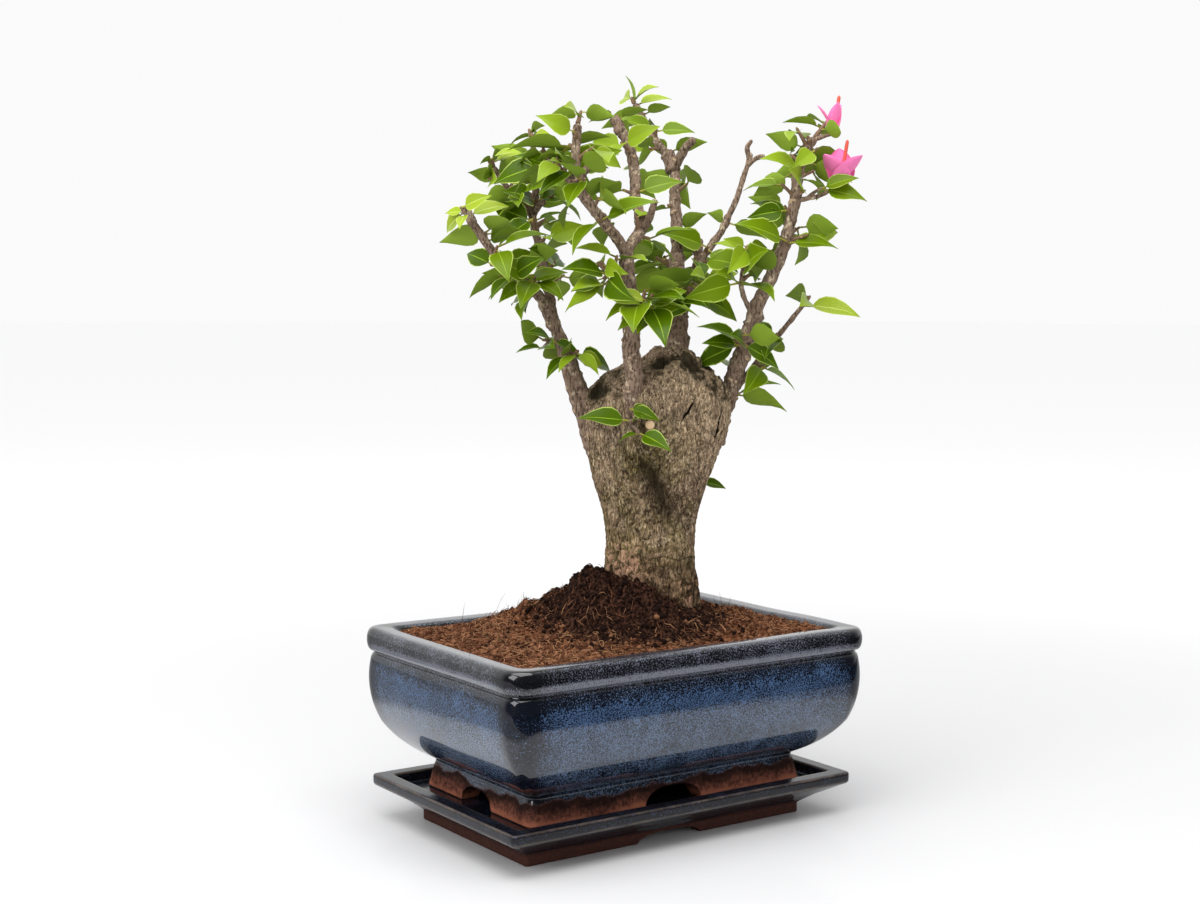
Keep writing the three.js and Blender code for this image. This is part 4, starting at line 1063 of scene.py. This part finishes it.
# One tuft: its spur, and its leaves set round the spur's tip. Spurs follow the golden angle along the
# arm; leaves open at a drawn angle from the spur and are spaced evenly round it. Their upper sides turn
# up and out from the arm and the crown: those that point outwards droop, and those that point inwards rise.
def growTuft(arm, k):
    def draw(index):
        return chance(arm["seed"], 100 * k + index)

    isLast = k == arm["tufts"] - 1
    spread = habit["tuftSpread"]
    place = (k + (1 - spread) / 2 + spread * draw(0)) / arm["tufts"]
    share = 1.0 if isLast else arm["first"] + (1 - arm["first"]) * place
    axis = headingAt(arm["path"], share)
    across = squareTo(sideways, axis)
    turn = 2 * np.pi * chance(arm["seed"], 7777) + k * goldenAngle + habit["turnSpread"] * (draw(1) - 0.5)
    out = across * np.cos(turn) + np.cross(axis, across) * np.sin(turn)
    ahead = axis + habit["tipSpur"] * (out + upward)
    aside = out + habit["spurRise"] * upward + habit["spurAhead"] * axis
    heading = unit(ahead if isLast else aside)
    start = curveAt(arm["path"], share)
    tip = start + heading * (taper(arm["radii"], share) + arm["spur"] * (habit["shortestSpur"] + draw(2)))
    count = arm["leaves"] + (draw(3) > 0.5)
    size = arm["leaf"] * (arm.get("young", habit["tipLeafSize"]) if isLast else 1)
    first = squareTo(upward if abs(heading[2]) < nearlyAlong else across, heading)
    second = np.cross(heading, first)
    fromCrown = unit(unit((tip - start) * levelPart) + habit["fromMiddle"] * unit(tip * levelPart))
    light = unit(upward + habit["faceOut"] * fromCrown)
    leaves = []
    for j in range(count):
        pick = [draw(10 * (j + 1) + i) for i in range(5)]
        turned = 2 * np.pi * (j + habit["leafSpread"] * (pick[0] - 0.5)) / count + k * habit["leafTwist"]
        least, more = habit["opening"]
        opening = math.radians(least + more * pick[1] + habit["tipOpening"] * isLast)
        ringward = first * np.cos(turned) + second * np.sin(turned)
        aim = heading * math.cos(opening) + ringward * math.sin(opening)
        lift = habit["lift"][0] + habit["lift"][1] * pick[2] - habit["droop"] * (aim @ fromCrown)
        leafHeading = unit(aim + upward * lift)
        slope = np.clip(leafHeading[2], *habit["slope"])
        leafHeading = unit(leafHeading * levelPart) * math.sqrt(1 - slope**2) + upward * slope
        face = leafFace(leafHeading, math.radians(habit["roll"]) * (pick[4] - 0.5), light)
        root = tip - heading * (habit["sunk"] + habit["stagger"] * j)
        length = size * (habit["length"][0] + habit["length"][1] * pick[3])
        leaves.append((root, leafHeading, face, length, isLast))
    return (start, tip), leaves


leafForm = {
    "stations": (0, 0.17, 0.195, 0.26, 0.37, 0.53, 0.72, 0.88, 1),
    "halfWidths": (0.026, 0.022, 0.11, 0.235, 0.31, 0.3, 0.195, 0.08, 0.003),
    "across": (1, 0.91, 0.05, -0.05, -0.91, -1, 0),
    "petiole": 0.25,
    "twist": 1.1,
    "sag": 0.13,
    "sagSpread": 0.9,
    "hook": (0.5, 0.62),
    "drift": 0.14,
    "fold": 0.27,
    "thickness": 0.4,
    "keel": (0.6, 2.0, 0.25),
    "marks": {"young": 3, "margin": 4, "young margin": 5, "rib": 6, "underside": 7, "stalk": 8},
}


# Leaves, all at once: the middle line runs along the heading and sags by the square of its share, and
# each station is a ring over the top from edge to edge, raised towards the edges, and one point below
def leafGrid(leaves):
    root, heading, face = (np.array([leaf[i] for leaf in leaves]) for i in range(3))
    length = np.array([leaf[3] for leaf in leaves])
    share = np.array(leafForm["stations"])
    half = np.array(leafForm["halfWidths"]) * length[:, None]
    across = np.array(leafForm["across"])
    reach = length * (1 + leafForm["petiole"])
    draws = [chance(77 + i, np.arange(len(leaves))) - 0.5 for i in range(3)]
    roll = draws[0][:, None] * leafForm["twist"] * share**2
    side = np.cross(face, heading)
    turnedSide = side[:, None] * np.cos(roll)[..., None] + face[:, None] * np.sin(roll)[..., None]
    turnedFace = face[:, None] * np.cos(roll)[..., None] - side[:, None] * np.sin(roll)[..., None]
    sag = leafForm["sag"] * (1 + leafForm["sagSpread"] * draws[1][:, None]) * share**2
    hook, hookFrom = leafForm["hook"]
    sag = sag + hook * np.clip(share - hookFrom, 0, 1) ** 2
    drift = leafForm["drift"] * draws[2][:, None] * share**2
    middle = (root[:, None] + heading[:, None] * (reach[:, None] * share)[..., None]
              - face[:, None] * (reach[:, None] * sag)[..., None]
              + side[:, None] * (reach[:, None] * drift)[..., None])
    isBelow = np.array([0, 0, 0, 0, 0, 0, 1])
    blade, stalk, stalkReach = leafForm["keel"]
    keel = leafForm["thickness"] * isBelow * (blade + stalk * bell(share, stalkReach))[:, None]
    lift = leafForm["fold"] * half[..., None] * np.abs(across) - keel
    return (middle[:, :, None] + turnedSide[:, :, None] * (half[..., None] * across)[..., None]
            + turnedFace[:, :, None] * lift[..., None])


# Each column of a leaf's faces has its finish: margins, blade, rib and underside; the stalk its own
def leafSurface(leaves, tints):
    grid = leafGrid(leaves)
    count, rows, columns = grid.shape[:3]
    faces = tubeFaces(count, rows, columns)
    quads = faces[0].reshape(-1, columns, 4)
    quads[:, 5:] = np.roll(quads[:, 5:], -1, axis=-1)  # so that both sides fold along the same diagonals
    tints, mark = np.asarray(tints), leafForm["marks"]
    isYoung = tints == mark["young"]
    pattern = np.empty((count, rows - 1, columns), int)
    pattern[:] = tints[:, None, None]
    pattern[:, :, [0, 4]] = np.where(isYoung, mark["young margin"], mark["margin"])[:, None, None]
    pattern[:, :, 2] = np.where(isYoung, mark["young margin"], mark["rib"])[:, None]
    pattern[:, :, 5:] = mark["underside"]
    pattern[:, 0] = mark["stalk"]
    marks = [pattern.ravel(), np.full(count, mark["stalk"]), tints]
    return grid.reshape(-1, 3), faces, marks


# deep and bright green are partly leaf colour and partly painted shade and painted light
leafColors = {
    "shaded deep green leaf": (64, 89, 0),
    "green leaf": (92, 116, 6),
    "lit bright green leaf": (121, 144, 26),
    "young leaf": (135, 155, 38),
    "pale leaf margin": (157, 175, 80),
    "young leaf margin": (172, 186, 90),
    "leaf rib": (122, 148, 36),
}
leafSheen = {"Specular IOR Level": 0.14}
leafLooks = [*plainFinishes(leafColors, 0.3, **leafSheen),
             plainFinish("leaf underside", (124, 149, 46), 0.6, **leafSheen),
             plainFinish("leaf stalk", (140, 138, 54), 0.55, **leafSheen)]


# Each leaf's points on both edges and the middle, beyond the stalk
def leafPoints(leaves):
    return leafGrid(leaves)[:, 2:, [0, 2, 5]].reshape(len(leaves), -1, 3)


# Whether each leaf keeps over the pot's plan and clear of the limbs and of the leaves before it
def keptLeaves(leaves, limbs, earlier):
    points, clear = leafPoints(leaves), habit["clear"]
    flat = np.abs(onTree(points)[..., :2])
    kept = (flat < np.array(pot["half"]) - clear["potEdge"]).all((1, 2))
    for middle, radii in limbs:
        gap = np.linalg.norm(points[:, :, None] - middle, axis=-1) - radii
        kept &= gap.min((1, 2)) > clear["limb"]
    for other in earlier:
        gap = np.linalg.norm(points[:, :, None] - other, axis=-1)
        kept &= gap.min((1, 2)) > clear["leaf"]
    return kept


sides = ("left", "front", "back", "right", "trunk")
groups = {side: [name for name in masses if name.startswith(f"foliage_{side}_")] for side in sides}
share = np.linspace(0, 1, 40)
limbLines = [(curveAt(limb["path"], share), taper(limb["radii"], share))
             for limb in itertools.chain(boughs.values(), *masses.values())]


# The second flush on an arm: fewer tufts on longer spurs, with smaller leaves
def flushOf(arm):
    more = habit["flush"]
    return {**arm, "seed": arm["flush"], "tufts": max(2, round(arm["tufts"] * more["tufts"])),
            "spur": arm["spur"] * more["spur"], "leaf": arm["leaf"] * more["leaf"]}


# A stem's path, begun a little way down the bough that it grows on from
def rooted(path):
    for limb in boughs.values():
        if np.linalg.norm(np.subtract(limb["path"][-1], path[0])) < 1:
            return [curveAt(limb["path"], habit["rootedFrom"]), *path]
    return path


# The tint of a spray's leaves, dealt out by draw: deeper green low in the crown as painted shade and
# brighter green high up as painted light; the last on an arm is young
def sprayTint(seed, k, isLast, height):
    middleHeight, span = habit["tintLevel"]
    low, high = habit["tintDraws"]
    draw = chance(seed + 13, k) + (height - middleHeight) / span
    if isLast:
        return 3 if draw > low else 2
    return 0 if draw < low else 1 if draw < high else 2


# Wood without leaves: a forked tip, a pale burl and the knobs of old cuts
bareWood = {
    "back": [([(60.5, 52, 283), (66, 53, 288), (71.5, 53, 289)], (1.5, 1.4)),
             ([(61.5, 53.5, 288), (60.5, 54, 294), (63.5, 54, 299)], (1.5, 1.3)),
             ([(14.6, 48, 279), (13.2, 51, 286), (10.5, 53, 292)], (4.2, 4.4))],
    "front": [([(-18, 5.5, 298), (-20.5, 6, 304), (-24, 7, 307)], (3.4, 3.2)),
              ([(-41.2, -48, 262), (-40, -50, 270), (-36, -52, 274)], (2.4, 2.0))],
    "left": [([(-103, -31, 243), (-106, -33, 249), (-109, -34, 251)], (2.6, 2.5)),
             ([(-70.7, 22, 250), (-67, 18, 256), (-63, 16, 259)], (1.9, 1.7))],
    "right": [([(64, -8, 201), (66, -13, 206), (66, -15, 209)], (3.6, 3.0))],
}

grownLeaves = {}
earlier = []
twigColumns = limbForm["twigColumns"]
for group, names in groups.items():
    leaves, tints = [], []
    stems = [limbSurface(*wood, twigColumns, seed) for seed, wood in enumerate(bareWood.get(group, []), 61)]
    for name in names:
        for number, arm in enumerate(masses[name]):
            seed = arm.get("seed", 500 + number)
            stems.append(limbSurface(rooted(arm["path"]), arm["radii"], twigColumns, seed % 97,
                                     limbForm["twigCollar"]))
            flushes = [arm, flushOf(arm)] if "flush" in arm else [arm]
            for grower, k in [(g, k) for g in flushes for k in range(g.get("tufts", 0))]:
                (start, tip), tuft = growTuft(grower, k)
                kept = keptLeaves(tuft, limbLines, earlier)
                tuft = [leaf for leaf, isKept in zip(tuft, kept) if isKept]
                if tuft:
                    stems.append(limbSurface([start, tip], habit["spurRadii"], limbForm["spurColumns"], k,
                                             limbForm["spurCollar"], limbForm["spurMark"]))
                    earlier.append(leafPoints(tuft).reshape(-1, 3))
                    leaves += tuft
                    tints += [sprayTint(grower["seed"], k, tuft[0][4], tip[2])] * len(tuft)
            end = curveAt(arm["path"], 1.0) - headingAt(arm["path"], 1.0) * habit["sunk"]
            for heading, length, roll in arm.get("tipLeaves", []):
                heading = unit(np.array(heading, float))
                leaves.append((end, heading, leafFace(heading, math.radians(roll)), length, False))
                # tip leaves low in the crown take the deep green as painted shade
                tints.append(3 if "young" in arm else 0 if end[2] < 150 else 1)
    vertices, faces, marks = leafSurface(leaves, tints)
    makePiece("leaves_" + group, (onTree(vertices), faces, marks), leafLooks, names, sharpAngle=70)
    makePiece("twigs_" + group, joined(stems), woodLooks)
    grownLeaves[group] = len(leaves)
print("leaves", grownLeaves)


# Blooms

bloom = {
    "upright": {"length": 20, "halfWidth": 0.3, "tube": 22,
                "openings": (14, 20, 12), "turns": (48, 168, 288)},
    "spreading": {"length": 24, "halfWidth": 0.45, "tube": 26,
                  "openings": (36, 34, 10), "turns": (-48, 226, 90)},
    "tubeRadii": (1.2, 0.9),
    "tubeLean": (0.15, 0, 1),
    "rows": 18,
    "columns": 13,
    "fullness": 1.9,
    "taper": (0.55, 0.8),
    "cup": 0.4,
    "crinkle": (0.3, 9, 6),
    "bend": 0.16,
    "thickness": 0.15,
}


# A bract: a pointed oval, cupped across and bending outwards, its two skins a hair apart
def bractGrid(root, heading, face, length, halfWidth):
    share = np.linspace(0, 1, bloom["rows"])
    base, tip = bloom["taper"]
    half = length * halfWidth * bloom["fullness"] * (share + 0.004) ** base * (1 - share + 0.002) ** tip
    over = np.linspace(1, -1, bloom["columns"])
    across = np.concatenate([over, over[::-1][1:-1]])
    skin = np.concatenate([np.ones(len(over)), -np.ones(len(over) - 2)])
    side = np.cross(face, heading)
    height, along, aside = bloom["crinkle"]
    crinkle = height * np.sin(along * share[:, None] + aside * across) * across**2
    lift = bloom["cup"] * half[:, None] * across**2 + crinkle + bloom["thickness"] * skin * (1 - across**2)
    middle = root + heading * (length * share)[:, None] - face * (length * bloom["bend"] * share**2)[:, None]
    return middle[:, None] + side * (half[:, None] * across)[..., None] + face * lift[..., None]


bracts, bractTubes = [], []
for arm in masses["foliage_right_top"]:
    if "bloom" not in arm:
        continue
    flower = bloom[arm["bloom"]]
    tip = curveAt(arm["path"], 1.0)
    for opening, turn in zip(np.radians(flower["openings"]), np.radians(flower["turns"])):
        out = np.array([np.cos(turn), np.sin(turn), 0])
        heading = upward * math.cos(opening) + out * math.sin(opening)
        bracts.append(bractGrid(tip - heading * habit["sunk"], heading, squareTo(-out, heading),
                                flower["length"], flower["halfWidth"]))
    top = tip + np.array(bloom["tubeLean"]) * flower["tube"]
    bractTubes.append(limbSurface([tip, top], bloom["tubeRadii"], 8, 3))

bractLook = plainFinish("pink bract", (238, 122, 180), 0.6, **{"Specular IOR Level": 0.2})
vertices, faces, marks = tubes(np.array(bracts))
makePiece("bracts", (onTree(vertices), faces, marks), [bractLook], sharpAngle=70)
makePiece("bract_tubes", joined(bractTubes), [plainFinish("coral tube", (206, 92, 78), 0.6)] * 3)
print("blooms are in place")


# Stage: floor, light and camera

stageLook = {
    "floor": (196, 196, 197),
    "farGlow": 0.4,
    "glowFrom": (0.3, 1.4),
    "gloss": 0.04,
    "polish": 0.12,
    "beyond": (30, 30, 32),
    "size": 30,
    "tableEdge": (0.25, 0.31),
    "seen": 0.96,
    "lighting": 1.0,
    "mirrored": (0.05, 0.85),
    "wall": (0.57, 0.82, 0.3),
    "wallFrom": (-0.2, 0.6),
    "lightTarget": (0, 0, 0.2),
    "lights": {"overhead": ((-0.3, -0.3, 1.5), 1.4, 24), "left": ((-1.6, -0.3, 1.0), 1.0, 14)},
}


# A thing with its right, upper and rear axes as columns, at a place in metres
def putAt(thing, axes, place):
    thing.matrix_world = Matrix(np.block([[axes, np.array(place)[:, None]], [0, 0, 0, 1]]).tolist())
    bpy.context.scene.collection.objects.link(thing)


# The floor's glow rises with the distance from the middle, so that it stays white to the horizon; gloss
# mirrors it only as far as the table's edge, most of all in front
def makeFloor():
    mesh = bpy.data.meshes.new("floor")
    half = stageLook["size"]
    corners = [(-half, -half, 0), (half, -half, 0), (half, half, 0), (-half, half, 0)]
    mesh.from_pydata(corners, [], [(0, 1, 2, 3)])
    finish = Finish("pale floor")
    black, white = rgb(0, 0, 0), rgb(255, 255, 255)
    away = finish.node("ShaderNodeVectorMath", {"operation": "LENGTH"}, {0: finish.place()}, output="Value")
    glow = finish.mix(finish.ease(away, *stageLook["glowFrom"]), black, white)
    matt = finish.node("ShaderNodeBsdfPrincipled", {}, {
        "Base Color": rgb(*stageLook["floor"]), "Roughness": 1.0, "Specular IOR Level": 0.0,
        "Emission Color": glow, "Emission Strength": stageLook["farGlow"]})
    polish = finish.node("ShaderNodeBsdfGlossy", {}, {"Color": white, "Roughness": stageLook["polish"]})
    shader = finish.node("ShaderNodeMixShader", {}, {0: stageLook["gloss"], 1: matt, 2: polish})
    dim = finish.node("ShaderNodeBsdfDiffuse", {}, {"Color": rgb(*stageLook["beyond"])})
    isMirrored = finish.node("ShaderNodeLightPath", output="Is Glossy Ray")
    inFront, anySide = (finish.ease(side, *stageLook["tableEdge"]) for side in (finish.axis("Y") * -1, away))
    isFar = isMirrored * (inFront * 0.4 + anySide * 0.6)
    shader = finish.node("ShaderNodeMixShader", {}, {0: isFar, 1: shader, 2: dim})
    finish.node("ShaderNodeOutputMaterial", {}, {"Surface": shader})
    mesh.materials.append(finish.owner)
    floor = bpy.data.objects.new("floor", mesh)
    bpy.context.scene.collection.objects.link(floor)


# The surroundings: white as seen and an even light on everything; gloss mirrors a bright wall behind
# and a dim room in front, by how far a direction points towards the wall
def makeWorld():
    finish = Finish("studio", "worlds")

    def sky(level):
        return finish.node("ShaderNodeBackground", {}, {"Color": rgb(255, 255, 255), "Strength": level})

    def blend(factor, first, second):
        return finish.node("ShaderNodeMixShader", {}, {0: factor, 1: first, 2: second})

    spot = finish.node("ShaderNodeTexCoord", output="Generated")
    product = {"operation": "DOT_PRODUCT"}
    facing = finish.node("ShaderNodeVectorMath", product, {0: spot, 1: stageLook["wall"]}, output="Value")
    isMirrored, isSeen = (finish.node("ShaderNodeLightPath", output=f"Is {kind} Ray")
                          for kind in ("Glossy", "Camera"))
    dim, bright = (sky(level) for level in stageLook["mirrored"])
    mirrored = blend(finish.ease(facing, *stageLook["wallFrom"]), dim, bright)
    shown = blend(isSeen, blend(isMirrored, sky(stageLook["lighting"]), mirrored), sky(stageLook["seen"]))
    finish.node("ShaderNodeOutputWorld", {}, {"Surface": shown})
    bpy.context.scene.world = finish.owner


# A soft square light at a place, turned to the middle of the tree
def makeLight(name, place, size, power):
    light = bpy.data.lights.new(name, "AREA")
    light.shape, light.size, light.size_y, light.energy = "RECTANGLE", size, size, power
    backward = unit(np.array(place, float) - np.array(stageLook["lightTarget"], float))
    right = squareTo(sideways, backward)
    axes = np.stack([right, np.cross(backward, right), backward], -1)
    putAt(bpy.data.objects.new(name, light), axes, place)


camera = {
    "place": (-0.6126, -0.8589, 0.3012),
    "lens": 54.09,
    "sensor": 36,
    "nearest": 0.01,
    "pitch": -4.573,
    "yaw": 34.978,
    "roll": 0.225,
}


# The camera's axes: forward by yaw and pitch, and right turned from level by roll
def makeCamera():
    pitch, yaw, roll = (math.radians(camera[key]) for key in ("pitch", "yaw", "roll"))
    forward = np.array([math.sin(yaw) * math.cos(pitch), math.cos(yaw) * math.cos(pitch), math.sin(pitch)])
    flat = np.array([math.cos(yaw), -math.sin(yaw), 0])
    right = flat * math.cos(roll) + np.cross(flat, forward) * math.sin(roll)
    lens = bpy.data.cameras.new("photo camera")
    lens.lens, lens.sensor_width, lens.clip_start = camera["lens"], camera["sensor"], camera["nearest"]
    holder = bpy.data.objects.new("photo camera", lens)
    putAt(holder, np.stack([right, np.cross(right, forward), -forward], -1), camera["place"])
    bpy.context.scene.camera = holder


makeFloor()
makeWorld()
for name, light in stageLook["lights"].items():
    makeLight(name, *light)
makeCamera()
bpy.context.scene.view_settings.view_transform = "Standard"
print("stage is set")
